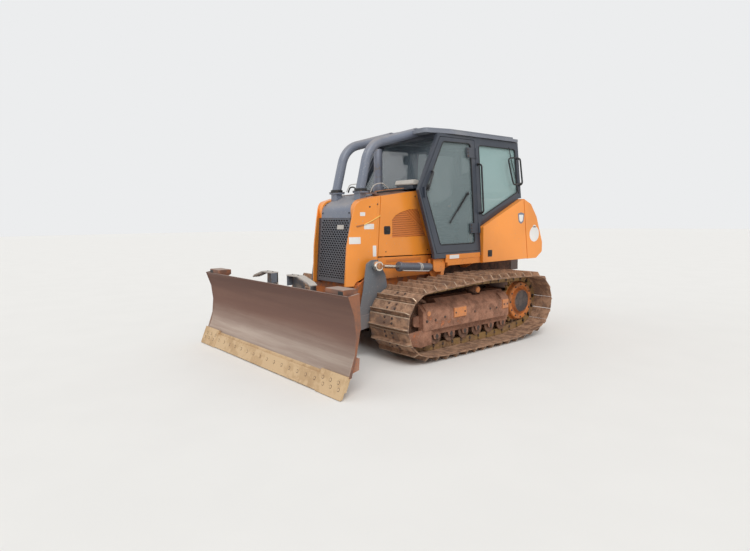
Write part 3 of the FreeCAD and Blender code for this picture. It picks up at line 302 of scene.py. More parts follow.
def fins():
    """Radiator core: fine upright fins, near black, which is painted shade behind the grille."""
    g = Graph("radiator_core")
    wave = g.wave(90, "X", 0.4)
    return g.finish(g.mix(g.ramp(wave, 0.2, 0.8), (12, 11, 11), (32, 28, 26)), 0.8, wave, 0.002)


def glass(name, shade, cover):
    """Tinted pane under a thin uneven film of dust."""
    g = Graph(name)
    film = g.noise(1.1, 2.0, 0.4)
    colour = g.mix(g.ramp(film, 0.3, 0.75, 0.0, 0.3), shade, (150, 158, 158))
    alpha = g.ramp(film, 0.3, 0.75, cover, cover + 0.1)
    return g.finish(colour, g.ramp(film, 0.3, 0.8, 0.05, 0.11), None, Alpha=alpha)


def cloth(name, shade):
    """Woven seat cover with a fine weave."""
    g = Graph(name)
    weave = g.wave(160, "X") * g.wave(160, "Z")
    colour = g.mix(g.ramp(g.noise(8.0, 4.0, 0.6), 0.3, 0.7), shade, scaled(shade, 1.5))
    colour = g.mix(g.ramp(weave, 0.1, 0.8, 0.0, 0.4), colour, BLACK)
    return g.finish(colour, 0.9, weave, 0.0006, Sheen_Weight=0.3)


def lined(name, base, line, across, pitch, rough):
    """Lamp glass with even darker lines."""
    g = Graph(name)
    wave = g.wave(0.5 / pitch, across)
    return g.finish(g.mix(g.ramp(wave, 0.3, 0.7), line, base), rough, wave, 0.001)


def chrome_plate():
    """Polished rod under a thin film of brown dust."""
    g = Graph("rod_chrome")
    film = g.noise(20, 4.0, 0.6, (1.0, 0.2, 1.0))
    colour = g.mix(g.ramp(film, 0.45, 0.75, 0.0, 0.4), (226, 218, 206), (170, 128, 96))
    return g.finish(colour, g.ramp(film, 0.3, 0.8, 0.14, 0.4), None, Metallic=0.9)


def even(name, colour):
    """Even pale material for the floor."""
    g = Graph(name)
    shade = g.noise(1.5, 3.0, 0.5)
    return g.finish(g.mix(g.ramp(shade, 0.3, 0.7), colour, scaled(colour, 0.985)), 0.85, None)


PANEL_PAINT = {"rough": 0.34, "low": 0.25, "splash": 1.0, "top": 0.22, "patch": 0.05, "chips": 0.2,
               "Coat_Weight": 0.25, "Coat_Roughness": 0.2}
DULL_DUST = (150, 140, 130)
# Under the rear body's lower edge the orange turns soil-brown, a painted shade
orange = painted("orange_paint", ORANGE, under=1.012, **PANEL_PAINT)
nose_orange = painted("nose_paint", ORANGE, **PANEL_PAINT)
orange_low = painted("orange_soiled", (232, 140, 52), 0.5, low=0.75, splash=1.25, top=0.6, patch=0.25, chips=0.5,
                     chip_colour=(120, 72, 50))
louvre_paint = painted("louvre_paint", (206, 120, 54), 0.5, low=0.1, splash=1.2, top=0.35, patch=0.1)
charcoal = painted("charcoal_paint", (48, 54, 65), 0.42, (132, 126, 124), 0.35, 0.25, 1.6, 0.1, Coat_Weight=0.15)
blue_grey = painted("blue_grey_paint", (112, 118, 132), 0.4, (160, 152, 146), 0.55, 0.0, patch=0.14, chips=0.3,
                    chip_colour=(190, 186, 180))
roof_paint = painted("roof_paint", (116, 120, 130), 0.45, (168, 164, 156), 0.6, 0.0, patch=0.2)
horn_paint = painted("horn_paint", (104, 110, 116), 0.5, (150, 122, 106), 0.4, 0.5, 0.9, 0.2, 0.4)
barrel_paint = painted("barrel_paint", (92, 97, 108), 0.34, (148, 124, 110), 0.3, 0.3, 0.8, 0.12, 0.3)
black_plastic = painted("black_plastic", BLACK, 0.5, (96, 88, 82), 0.35, 0.1, patch=0.08)
rubber = painted("rubber", (24, 24, 26), 0.62, (92, 84, 78), 0.25, 0.1, patch=0.06)
hood_paint = painted("hood_paint", (116, 74, 58), 0.6, (138, 112, 98), 0.5, 0.0, patch=0.4, chips=0.5,
                     chip_colour=(60, 46, 42))
sticker_white = painted("blank_sticker", (226, 224, 220), 0.4, (206, 170, 140), 0.1, 0.2, patch=0.35)
yellow = painted("yellow_bar", (246, 196, 92), 0.4, top=0.2, low=0.0, patch=0.1)
pale_trim = painted("pale_trim", (190, 184, 176), 0.5, DULL_DUST, 0.3, patch=0.3)
grey_trim = painted("grey_trim", (104, 110, 120), 0.5, DULL_DUST, 0.3, 0.1, patch=0.2)
grille_paint = painted("grille_paint", (76, 78, 86), 0.5, (112, 98, 88), 0.4, 0.35, 1.5, 0.12)
engine_grey = painted("engine_grey", (70, 70, 72), 0.6, (96, 84, 76), 0.6, 0.6, patch=0.4)
frame_mud = crusted("frame_mud", (206, 118, 66), (166, 118, 94), (118, 80, 62), 0.75)
shoe_mud = crusted("shoe_mud", (134, 108, 92), (180, 142, 114), (104, 76, 58), 0.55, 0.005, 12, 0.1)
link_mud = crusted("link_mud", (150, 118, 72), (158, 122, 86), (78, 58, 46), 0.35, 0.004, 16, 0.2)
roller_mud = crusted("roller_mud", (120, 86, 66), (140, 104, 84), (62, 46, 40), 0.45, 0.004, 14, 0.1)
back_dust = crusted("blade_back_dust", (196, 116, 70), (170, 126, 104), (124, 86, 70), 0.55, 0.003)
swivel_dust = crusted("swivel_dust", (120, 122, 126), (176, 164, 152), (110, 90, 78), 0.45, 0.003)
edge_steel = crusted("edge_plate", (202, 172, 132), (192, 162, 124), (172, 140, 104), 0.25, 0.0012, 9.0, 0.1)
rust = crusted("rusted_pin", (186, 120, 78), (200, 148, 104), (120, 66, 42), 0.5, 0.0015, 40, 0.2)
pipe_steel = crusted("stack_steel", (116, 120, 132), (132, 124, 120), (84, 76, 76), 0.12, 0.0006, 22, 0.2, 0.45)
tip_steel = worn_steel("grouser_tip", (190, 166, 142), 0.36, 0.35)
bolt_steel = worn_steel("bolt_steel", (84, 76, 72), 0.55, 0.5)
hull_dirt = hull_paint()
moldboard_steel = blade_face()
sprocket_steel = sprocket_paint()
core = fins()
chrome = chrome_plate()
door_glass = glass("door_glass", (126, 143, 145), 0.46)
side_glass = glass("side_glass", (164, 194, 192), 0.6)
front_glass = glass("front_glass", (92, 104, 114), 0.26)
seat_cloth = cloth("seat_cloth", (58, 60, 64))
lamp_lens = lined("lamp_lens", (206, 208, 208), (140, 144, 148), "X", 0.012, 0.25)


# Shapes
def rounded(corners, steps=5):
    """Outline through corners (u, v) or (u, v, rounding radius), as points."""
    points = []
    count = len(corners)
    for i, corner in enumerate(corners):
        here = Vector(corner[:2])
        if len(corner) < 3 or corner[2] <= 0:
            points.append(here)
            continue
        back = (Vector(corners[i - 1][:2]) - here).normalized()
        ahead = (Vector(corners[(i + 1) % count][:2]) - here).normalized()
        half = back.angle(ahead) / 2
        middle = here + (back + ahead).normalized() * (corner[2] / math.sin(half))
        start = here + back * (corner[2] / math.tan(half)) - middle
        end = here + ahead * (corner[2] / math.tan(half)) - middle
        turn = start.angle_signed(end)
        for k in range(steps + 1):
            points.append(middle + Matrix.Rotation(-turn * k / steps, 2) @ start)
    return points


def circle(count, turned=0):
    """Cosine and sine of even steps round a circle, from a part of a step."""
    angles = [2 * math.pi * (k + turned) / count for k in range(count)]
    return [(math.cos(angle), math.sin(angle)) for angle in angles]


def middle_of(points):
    """Mean of an outline's points."""
    return Vector((sum(p[0] for p in points), sum(p[1] for p in points))) / len(points)


def in_plane(axis, level, u, v):
    """Point of a drawing plane: x takes (s, z), s takes (x, z) and z takes (x, s)."""
    if axis == "x":
        return (level, u, v)
    if axis == "s":
        return (u, level, v)
    return (u, v, level)


def curve_through(stops, steps=6):
    """Smooth line through stops, as points."""
    stops = [Vector(p) for p in stops]
    line = []
    for i in range(len(stops) - 1):
        a = stops[max(i - 1, 0)]
        b = stops[i]
        c = stops[i + 1]
        d = stops[min(i + 2, len(stops) - 1)]
        for k in range(steps):
            t = k / steps
            line.append(0.5 * ((2 * b) + (c - a) * t + (2 * a - 5 * b + 4 * c - d) * t * t
                               + (3 * b - a - 3 * c + d) * t ** 3))
    line.append(stops[-1])
    return line


def clipped(shape, fence):
    """Part of a convex outline inside a convex fence that runs anticlockwise."""
    for a, b in zip(fence, fence[1:] + fence[:1]):
        def inside(p):
            return (b[0] - a[0]) * (p[1] - a[1]) - (b[1] - a[1]) * (p[0] - a[0])
        kept = []
        for p, q in zip(shape, shape[1:] + shape[:1]):
            here, there = inside(p), inside(q)
            if here >= 0:
                kept.append(p)
            if here * there < 0:
                part = here / (here - there)
                kept.append((p[0] + part * (q[0] - p[0]), p[1] + part * (q[1] - p[1])))
        shape = kept
        if not shape:
            break
    return shape


class Piece:
    """A mesh that grows solid by solid, each in one of its materials, on one side of the machine."""

    def __init__(self, name, *materials, side=1, place=None):
        self.mesh = bmesh.new()
        self.name = name
        self.materials = materials
        self.side = side
        self.place = place

    def put(self, point):
        x, s, z = self.place(*point) if self.place else point
        return self.mesh.verts.new(at(x * self.side, s, z))

    def shell(self, rings, paint=0, closed=False, band=None):
        """Skin over rings of points. A band gives the material of each strip round the rings."""
        rows = [[self.put(p) for p in ring] for ring in rings]
        count = len(rows[0])
        pairs = list(zip(rows, rows[1:] + rows[:1])) if closed else list(zip(rows, rows[1:]))
        for a, b in pairs:
            for i in range(count):
                j = (i + 1) % count
                face = self.mesh.faces.new((a[i], a[j], b[j], b[i]))
                face.material_index = band[i] if band else paint
        if not closed:
            for row in (rows[0][::-1], rows[-1]):
                self.mesh.faces.new(row).material_index = paint

    def prism(self, corners, axis, start, end, paint=0):
        points = rounded(corners)
        self.shell([[in_plane(axis, level, *p) for p in points] for level in (start, end)], paint)

    def plate(self, low, high, radius, axis, start, end, paint=0):
        """Prism of a rectangle between two corners (u, v), with its own corners rounded."""
        (u0, v0), (u1, v1) = low, high
        self.prism([(u0, v0, radius), (u1, v0, radius), (u1, v1, radius), (u0, v1, radius)], axis, start, end, paint)

    def turned(self, profile, centre, axis, paint=0, sides=24):
        """Round piece: profile (distance along the axis, radius) from a centre."""
        axis = Vector(axis).normalized()
        first = axis.orthogonal().normalized()
        second = axis.cross(first)
        self.shell([[Vector(centre) + axis * along + (first * c + second * s) * radius for c, s in circle(sides)]
                    for along, radius in profile], paint)

    def rod(self, start, end, radius, paint=0, sides=20):
        run = Vector(end) - Vector(start)
        self.turned([(0, radius), (run.length, radius)], start, run, paint, sides)

    def bolt(self, centre, axis, size=15, paint=0):
        """Hexagon head on its washer."""
        self.turned([(-2, size * 1.15), (2.5, size * 1.15)], centre, axis, paint, 12)
        head = [(2, size * 0.92), (size * 0.62, size * 0.92), (size * 0.75, size * 0.74)]
        self.turned(head, centre, axis, paint, 6)

    def tube(self, stops, radius, paint=0, sides=12, smooth=6, closed=False):
        """Round bar, hose or seal along a line."""
        line = curve_through(stops, smooth) if smooth else [Vector(p) for p in stops]
        rings = []
        count = len(line)
        side = None
        for i, p in enumerate(line):
            back = line[i - 1] if closed or i else p
            ahead = line[(i + 1) % count] if closed or i < count - 1 else p
            run = (ahead - back).normalized()
            if side is None:
                side = run.orthogonal().normalized()
            side = (side - run * side.dot(run)).normalized()
            other = run.cross(side)
            rings.append([p + (side * c + other * s) * radius for c, s in circle(sides)])
        self.shell(rings, paint, closed)

    def mirror(self):
        """Adds the same solids on the other side of the machine."""
        made = bmesh.ops.duplicate(self.mesh, geom=self.mesh.verts[:] + self.mesh.edges[:] + self.mesh.faces[:])
        for item in made["geom"]:
            if isinstance(item, bmesh.types.BMVert):
                item.co.x = -item.co.x
        return self

    def baked(self):
        """The mesh with its faces turned outward."""
        bmesh.ops.recalc_face_normals(self.mesh, faces=self.mesh.faces[:])
        mesh = bpy.data.meshes.new(self.name)
        self.mesh.to_mesh(mesh)
        self.mesh.free()
        return mesh

    def done(self, body, bevel=2, replaces=(), segments=2):
        """Makes the object, with its materials and softened edges, and rides it on its body."""
        settle(self.baked(), self.name, self.materials, body, bevel, replaces, segments=segments)


def settle(mesh, name, materials, body, bevel=2, replaces=(), smooth=35, segments=2):
    """Object of a mesh, with its materials, softened edges, body and finish."""
    made = bpy.data.objects.new(name, mesh)
    bpy.context.scene.collection.objects.link(made)
    for material in materials:
        mesh.materials.append(material)
    mesh.polygons.foreach_set("use_smooth", [True] * len(mesh.polygons))
    mesh.set_sharp_from_angle(angle=math.radians(smooth))
    if bevel:
        soften(made, bevel, segments)
    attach(made, body)
    if replaces:
        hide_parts(*replaces)
    return made


def soften(target, width, segments=2):
    """Rounds the sharp edges of an object by a width in millimetres."""
    bevel = target.modifiers.new("edge", "BEVEL")
    bevel.width = width / 1000
    bevel.segments = segments
    bevel.limit_method = "ANGLE"
    bevel.angle_limit = math.radians(38)
    bevel.harden_normals = False


def perforated(name, outline, holes, thick, edge):
    """Flat sheet in the x-y plane with holes through it and broken edges, as a mesh in metres."""
    curve = bpy.data.curves.new(name, "CURVE")
    curve.dimensions = "2D"
    curve.fill_mode = "BOTH"
    curve.extrude = (thick / 2 - edge) / 1000
    curve.bevel_depth = edge / 1000
    curve.bevel_resolution = 0
    for points in [outline] + holes:
        spline = curve.splines.new("POLY")
        spline.points.add(len(points) - 1)
        for spot, (u, v) in zip(spline.points, points):
            spot.co = (u / 1000, v / 1000, 0, 1)
        spline.use_cyclic_u = True
    holder = bpy.data.objects.new(name, curve)
    mesh = bpy.data.meshes.new_from_object(holder)
    bpy.data.objects.remove(holder)
    bpy.data.curves.remove(curve)
    mesh.materials.clear()
    return mesh


# Finishes of the CAD nodes that stay (material, width of the softened edge, nodes)
FINISHES = [
    (frame_mud, 5, "track_frames"), (roller_mud, 2, "idlers"), (roller_mud, 1.5, "rollers"),
    (sprocket_steel, 1.5, "sprockets"), (hull_dirt, 2, "hull_sides hull_plates cross_members cross_shafts"),
    (orange_low, 4, "lift_brackets"), (orange_low, 5, "sills"), (orange_low, 3, "drawbar"),
    (engine_grey, 8, "engine_block"), (blue_grey, 2.5, "hood_shroud"), (hood_paint, 3, "hood_top"),
    (pipe_steel, 1.5, "exhaust_stack"), (roof_paint, 12, "cab_roof"), (charcoal, 3, "cab_sides cab_walls"),
    (charcoal, 2, "cab_lining"), (charcoal, 4, "cab_door_l cab_door_r"), (front_glass, 0, "windshield"),
    (side_glass, 0, "cab_glass"), (door_glass, 0, "door_glass_l door_glass_r"),
    (black_plastic, 12, "console"), (black_plastic, 0, "grab_rails"), (black_plastic, 8, "work_lamps"),
    (orange, 9, "rear_body"), (orange, 6, "rear_door_l rear_door_r"), (horn_paint, 4, "lift_frame"),
    (swivel_dust, 3, "blade_swivel"), (moldboard_steel, 3, "moldboard"), (back_dust, 3, "blade_back"),
    (edge_steel, 2.5, "cutting_edge"), (chrome, 1, "lift_rod_l lift_rod_r angle_rod_l angle_rod_r tilt_rod"),
    (barrel_paint, 2, "lift_barrel_l lift_barrel_r angle_barrel_l angle_barrel_r tilt_barrel"),
]
for material, edge, nodes in FINISHES:
    for node in nodes.split():
        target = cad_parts[node]
        target.data.materials.clear()
        target.data.materials.append(material)
        if edge:
            target.modifiers.new("weld", "WELD").merge_threshold = 0.00002
            soften(target, edge)


# Tracks: shoes, grousers, bolts, links and pins on the same loop as the CAD
WRAPS = [(*IDLER, 363), (*CARRIER, 142), (*SPROCKET, 359), (*REAR_ROLLER, 171), (*FRONT_ROLLER, 171)]


def belt_points():
    """Even steps round the tight loop over the wheels, as the joints between the shoes."""
    touch = []
    count = len(WRAPS)
    for i, a in enumerate(WRAPS):
        b = WRAPS[(i + 1) % count]
        touch.append(math.atan2(b[1] - a[1], b[0] - a[0]) + math.acos((a[2] - b[2]) / math.dist(a[:2], b[:2])))
    fine = []
    for i, (s, z, radius) in enumerate(WRAPS):
        sweep = (touch[i - 1] - touch[i]) % (2 * math.pi)
        steps = max(2, int(sweep * radius / 4))
        for k in range(steps + 1):
            angle = touch[i - 1] - sweep * k / steps
            fine.append((s + radius * math.cos(angle), z + radius * math.sin(angle)))
    fine.append(fine[0])
    lengths = [0]
    for a, b in zip(fine, fine[1:]):
        lengths.append(lengths[-1] + math.dist(a, b))
    result = []
    j = 0
    for k in range(SHOE_COUNT):
        want = lengths[-1] * k / SHOE_COUNT
        while lengths[j + 1] < want:
            j += 1
        part = (want - lengths[j]) / (lengths[j + 1] - lengths[j])
        result.append(Vector(fine[j]).lerp(Vector(fine[j + 1]), part))
    return result


def track(name, node, side):
    """One track with every shoe, bolt, link and pin."""
    piece = Piece(name, shoe_mud, tip_steel, bolt_steel, link_mud, side=side)
    joints = belt_points()
    inner = TRACK_OUT - SHOE_WIDTH
    for i, a in enumerate(joints):
        b = joints[(i + 1) % SHOE_COUNT]
        pitch = (b - a).length
        run = (b - a) / pitch
        out = Vector((-run.y, run.x))

        def spot(x, part, height):
            p = a + run * (part * pitch) + out * height
            return (x, p.x, p.y)
        # Section of a shoe (part of its length, height, height at its chamfered ends)
        section = [(0.015, -2, -2), (0.015, 12, 10), (0.10, 12, 10), (0.128, 60, 20), (0.19, 62, 22), (0.24, 13, 11),
                   (0.90, 12, 10), (0.985, 6, 4), (0.985, -5, -5), (0.90, 0, 0)]
        paints = [0, 0, 0, 1, 0, 0, 1, 0, 0, 0]
        rings = []
        for x, end in ((inner, 1), (inner + 34, 0), (TRACK_OUT - 34, 0), (TRACK_OUT, 1)):
            rings.append([spot(x, part, low if end else high) for part, high, low in section])
        piece.shell(rings, 0, band=paints)
        # Bolt heads in dark steel; their darkness is partly painted shade of the bolt holes
        for x in (-62, 62):
            for part in (0.42, 0.76):
                wobble = random.uniform(-0.01, 0.01)
                piece.bolt(spot(TRACK_X + x, part + wobble, 12), (0, out.x, out.y), 14, 2)
        # Side of a link (part of the shoe's length, height)
        link = [(-0.10, -66), (-0.04, -30), (0.12, -1), (0.88, -1), (1.02, -22), (1.10, -52), (1.06, -76),
                (0.86, -85), (0.14, -85), (-0.03, -82)]
        shift = 3.5 if i % 2 else -3.5
        for x in (-39, 39):
            centre = TRACK_X + x + math.copysign(shift, x)
            piece.shell([[spot(edge, part, height) for part, height in link]
                         for edge in (centre - 15, centre + 15)], 3)
        piece.rod(spot(TRACK_X - 64, 0, -54), spot(TRACK_X + 64, 0, -54), 15, 2, 12)
        piece.rod(spot(TRACK_X - 26, 0, -54), spot(TRACK_X + 26, 0, -54), 27, 3, 14)
    return piece.done("root", 1.6, (node,), segments=1)


for side, word in SIDES:
    track("track_shoes_" + word, "track_" + word[0], side)


# Running gear details
def running_gear():
    """Bolts, caps and treads on the track frames, and the bolts of the sprockets."""
    piece = Piece("track_frame_fittings", bolt_steel, orange_low, frame_mud)
    face = 1090
    for station, height, size in ((860, 470, 13), (1400, 470, 13), (1700, 470, 13), (1830, 470, 13),
                                  (560, 452, 15), (700, 452, 15)):
        piece.bolt((face, station, height), OUT, size)
    # Treads on the frame's outer face, brighter than the frame
    for start, end in ((1012, 1226), (1944, 2062)):
        piece.prism([(1089, 438), (1104, 446, 5), (1104, 556, 5), (1089, 566)], "s", start, end, 1)
        for station in (start + 26, end - 26):
            piece.bolt((1104, station, 500), OUT, 10)
    piece.turned([(0, 30), (5, 28)], (face, 590, 540), OUT, 1, 20)
    # Caps and guards of the track rollers
    low = FRONT_ROLLER[1]
    for k in range(6):
        station = FRONT_ROLLER[0] + ROLLER_PITCH * k
        piece.turned([(0, 34), (16, 34), (22, 26)], (1004, station, low), OUT, 0, 20)
        piece.prism([(station - 66, low + 29, 10), (station + 66, low + 29, 10), (station + 40, low - 28, 18),
                     (station - 40, low - 28, 18)], "x", 1014, 1024, 2)
    piece.turned([(0, 38), (14, 38), (20, 30)], (1004, *CARRIER), OUT, 1, 24)
    # Rings of bolts round the sprockets' axles (count, part of a step turned, x, radius, size)
    for count, turned, x, radius, size in ((12, 0, 996, 225, 12), (8, 0.5, 1017, 128, 9)):
        for c, s in circle(count, turned):
            piece.bolt((x, SPROCKET[0] + radius * c, SPROCKET[1] + radius * s), OUT, size)
    piece.mirror()
    piece.done("root", 1.2, segments=1)


running_gear()


# Grille: staggered flat hexagons in a dark sheet, with a rim
def grille():
    """Perforated sheet that leans back from the grille's foot, its side rims and a bare plate."""
    rise, back = 769, 81
    length = math.hypot(rise, back)
    half = 299
    pitch, row_pitch = 52, 27.6
    hexagon = [(-21, 0), (-13, -10.3), (13, -10.3), (21, 0), (13, 10.3), (-13, 10.3)]
    holes = []
    for row in range(int((length - 50) / row_pitch)):
        v = 54 + row * row_pitch
        for column in range(-5, 6):
            u = column * pitch + (pitch / 2 if row % 2 else 0)
            if abs(u) <= half - 34:
                holes.append([(u + a, v + b) for a, b in hexagon])
    mesh = perforated("grille_sheet", [(-half, 0), (half, 0), (half, length), (-half, length)], holes, 13, 1.6)
    # The sheet's own axes, x across and y up its slope, stood up on the grille's foot
    lean_back = Matrix.Rotation(math.pi / 2 - math.atan2(back, rise), 4, "X")
    mesh.transform(Matrix.Translation(at(0, 7, GRILLE_FOOT)) @ lean_back)
    settle(mesh, "grille_honeycomb", (grille_paint,), "root", 0, ("grille",), 30)
    rim = Piece("grille_rim", grille_paint, pale_trim)
    for x in (-296, 283):
        rim.shell([[(x, s, z), (x + 13, s, z), (x + 13, s + deep, z), (x, s + deep, z)]
                   for s, z, deep in ((2, GRILLE_FOOT, 18), (83, GRILLE_FOOT + 767, 17))])
    # Bare plate near the grille's head
    lean = Vector((0, back, rise)) / length
    out = Vector((0, -rise, back)) / length
    foot = Vector((0, 0, GRILLE_FOOT)) + lean * 640
    ring = [(58, 0), (188, 0), (188, 52), (58, 52)]
    rim.shell([[foot + Vector((u, 0, 0)) + lean * v + out * depth for u, v in ring]
               for depth in (1, 7)], 1)
    rim.done("root", 1.5)


grille()


# Engine doors with their recessed louvres
LOUVRE = [(575, 1398), (1152, 1404), (1022, 1742), (864, 1737), (716, 1702), (631, 1662), (577, 1614)]
RIDGE = ((808, 1701), (1132, 1440))


def engine_door(name, node, side):
    """Creased skin round a sunk louvre, with its slats, latch and hinges' bolts."""
    piece = Piece(name, orange, louvre_paint, black_plastic, rubber, side=side)
    # Corners of the skin (station, height, depth below the door's face)
    corner = {"A": (404, 1896, 0), "B": (1012, 1972, 15), "C": (1272, 1162, 0), "D": (349, 1180, 0),
              "R": (1145, 1557, 0), "Q": (1080, 1760, 9)}
    for k, (s, z) in enumerate(LOUVRE):
        corner[k] = (s, z, (0, 0, 6, 2, 0, 0, 0)[k])
    skin = ["A D 0 6 5 4", "D C 1 0", "C R 1", "R Q 2 1", "Q B 2", "B 3 2", "A 4 3 B"]
    made = {}
    for level in (0, 20):
        for key, (s, z, depth) in corner.items():
            made[key, level] = piece.put((HOOD - (level if level else depth), s, z))
    rims = [("A", "D"), ("D", "C"), ("C", "R"), ("R", "Q"), ("Q", "B"), ("B", "A")]
    rims += [(k, (k + 1) % 7) for k in range(7)]
    for line in skin:
        keys = [int(k) if k.isdigit() else k for k in line.split()]
        for level in (0, 20):
            piece.mesh.faces.new([made[k, level] for k in keys])
    for a, b in rims:
        piece.mesh.faces.new([made[a, 0], made[b, 0], made[b, 20], made[a, 20]])
    # Sunk pan behind the slats
    piece.prism(LOUVRE, "x", HOOD - 21, HOOD - 17, 1)
    (s0, z0), (s1, z1) = RIDGE
    run = Vector((s1 - s0, z1 - z0)).normalized()
    side_way = Vector((-run.y, run.x))
    start = Vector(RIDGE[0]) - run * 300
    end = Vector(RIDGE[1]) + run * 300
    below = [start, start - side_way * 900, end - side_way * 900, end]
    for k in range(12):
        low = 1404 + k * 26.5
        bow = 10
        bar = [(500, low - bow), (1200, low + bow), (1200, low + bow + 18), (500, low - bow + 18)]
        bar = clipped(clipped(bar, LOUVRE), below)
        if len(bar) > 2:
            lift_in = [(s, z + 5) for s, z in bar]
            piece.shell([[(HOOD - 17.5, s, z) for s, z in lift_in], [(HOOD - 7, s, z) for s, z in bar]], 1)
    for k in range(6):
        offset = 4 + k * 33
        rise = side_way * offset
        bar = [start + rise, end + rise, end + rise + side_way * 20, start + rise + side_way * 20]
        bar = clipped(bar, LOUVRE)
        if len(bar) > 2:
            piece.shell([[(HOOD - 17.5, s, z) for s, z in bar], [(HOOD - 8, s, z) for s, z in bar]], 1)
    # Latch in its dark rounded dish
    piece.plate((442, 1438), (543, 1538), 18, "x", HOOD - 3, HOOD + 3, 2)
    piece.plate((458, 1454), (528, 1522), 12, "x", HOOD + 3, HOOD + 6, 3)
    piece.plate((470, 1476), (516, 1502), 8, "x", HOOD + 5, HOOD + 12, 2)
    for s, z in ((961, 1899), (470, 1230), (1180, 1225)):
        piece.turned([(0, 9), (4, 8)], (HOOD - 2, s, z), OUT, 3, 12)
    piece.done(node, 2.5, (node,))


for side, word in SIDES:
    engine_door("engine_door_" + word, "engine_door_" + word[0], side)


# Nose: side panels that are drawn in towards the grille, and what stands behind them
NOSE_FRONT = -42           # station of the panels' foremost point
NOSE_BACK = 330            # station where they reach the engine doors' width
NOSE_HALF = 341            # half width over their front edges
PANEL = 22


def nose_x(s):
    """Half width over the side panels at a station."""
    part = min(1, (s - NOSE_FRONT) / (NOSE_BACK - NOSE_FRONT))
    return NOSE_HALF + (HOOD - NOSE_HALF) * part


def nose():
    """Side panels with their folded top edges, the radiator's core and the rails that carry the hood."""
    piece = Piece("front_panels_drawn_in", nose_orange, grille_paint)
    front = rounded([(-42, 836), (-12, 1300), (44, 1600), (100, 1835, 130), (330, 1883.6), (330, 1036.7), (130, 905),
                     (88, 884), (60, 836)])
    rear = [(330, 1883.6), (396, 1898), (341, 1182), (335, 1040), (330, 1036.7)]
    for corners in (front, rear):
        piece.shell([[(nose_x(s) - inset, s, z) for s, z in corners] for inset in (0, PANEL)])
    # Fold over the plate above the grille, and the flange that holds the grille's edge
    fold = rounded([(96, 1640), (78, 1835, 130), (396, 1898), (394, 1876), (112, 1818, 110), (118, 1640)])
    piece.shell([[(297, s, z) for s, z in fold], [(nose_x(s) - PANEL + 1, s, z) for s, z in fold]])
    flange = [(20, 850), (98, 1640), (118, 1640), (40, 850)]
    piece.shell([[(292, s, z) for s, z in flange], [(nose_x(s) - PANEL + 1, s, z) for s, z in flange]], 1)
    piece.mirror()
    piece.done("root", 3, ("front_panels",))
    pack = Piece("cooling_core", core, grille_paint)
    pack.prism([(84, 900), (250, 900), (318, 1580), (152, 1580)], "x", -330, 330)
    for low, high in (((80, 880), (82, 905)), ((148, 1575), (150, 1600))):
        pack.prism([low, (low[0] + 175, low[1]), (high[0] + 175, high[1]), high], "x", -345, 345, 1)
    for x in (-345, 328):
        pack.prism([(80, 880), (252, 880), (322, 1600), (150, 1600)], "x", x, x + 17, 1)
    pack.done("root", 2, ("radiator",))
    rails = Piece("hood_rails_and_posts", orange_low)
    rails.prism([(345, 905), (1240, 905), (1240, 1152), (351, 1165)], "x", 440, HOOD)
    for s, top in ((430, 1882), (950, 1947)):
        rails.plate((440, s), (457, s + 40), 0, "z", 1140, top)
    rails.plate((372, 170), (nose_x(170) - PANEL + 1, 206), 0, "z", 880, 1765)
    rails.mirror()
    rails.done("root", 3, ("hood_frame",))


nose()


# Hood and front panel details
def hood_details():
    """Blank stickers, holes, bolts and the yellow bar of the left side panel, and the strip under the door."""
    piece = Piece("panel_stickers", sticker_white, yellow, black_plastic, rust)
    # Blank stickers (station, height, station, height)
    for s0, z0, s1, z1 in ((140, 1661, 198, 1705), (184, 1506, 298, 1568), (282, 1182, 322, 1312),
                           (10, 1336, 142, 1416)):
        corners = rounded([(s0, z0, 6), (s1, z0, 6), (s1, z1, 6), (s0, z1, 6)])
        piece.shell([[(nose_x(s) + depth, s, z) for s, z in corners] for depth in (-0.5, 1.1)])
    # Yellow bar, with its front end in rust-brown, which is a painted shadow
    bar = [(nose_x(180) + 7, 180, 1559), (nose_x(280) + 9, 280, 1610), (HOOD + 8, 380, 1662)]
    piece.tube(bar, 6, 1, 10, 3)
    piece.rod((nose_x(105) + 7, 105, 1542), (nose_x(180) + 7, 182, 1560), 6, 3, 10)
    piece.rod((nose_x(105) - 2, 105, 1542), (nose_x(105) + 10, 105, 1542), 9, 3, 10)
    for s, z in ((255, 1767), (347, 1797)):
        piece.turned([(0, 11), (3.5, 9)], (nose_x(s) - 1, s, z), OUT, 2, 14)
    piece.done("root", 0)
    strip = Piece("rail_strip", louvre_paint, orange_low, bolt_steel)
    strip.plate((470, 1100), (1060, 1136), 10, "x", HOOD - 2, HOOD + 2.5)
    strip.plate((380, 1052), (1180, 1074), 8, "x", HOOD - 2, HOOD + 7, 1)
    for s in (400, 640, 880, 1160):
        strip.bolt((HOOD + 7, s, 1063), OUT, 9, 2)
    strip.mirror()
    strip.done("root", 1.5)


hood_details()


def bent(start, corner, end, radius, steps=12):
    """Line that runs straight to a bend of a radius and straight on, as points."""
    start, corner, end = (Vector(p) for p in (start, corner, end))
    back = (start - corner).normalized()
    ahead = (end - corner).normalized()
    half = back.angle(ahead) / 2
    middle = corner + (back + ahead).normalized() * (radius / math.sin(half))
    first = corner + back * (radius / math.tan(half)) - middle
    last = corner + ahead * (radius / math.tan(half)) - middle
    axis = first.cross(last).normalized()
    turn = first.angle(last)
    return [start] + [middle + Matrix.Rotation(turn * k / steps, 3, axis) @ first for k in range(steps + 1)] + [end]


def guard_tubes():
    """Tubes that lean back from their feet on the shroud and run straight to the roof's front."""
    piece = Piece("guard_tubes", blue_grey)
    piece.tube(bent((243, 275, 1946), (236, 425, 2515), (238, 1225, 2731), 331), 58, 0, 28, 0)
    piece.plate((160, 220), (326, 356), 20, "z", 1936, 1956)
    piece.prism([(235, 1850), (320, 1893), (320, 1937), (235, 1937)], "x", 180, 296)
    piece.mirror()
    piece.done("root", 2, ("sweeps",))


guard_tubes()


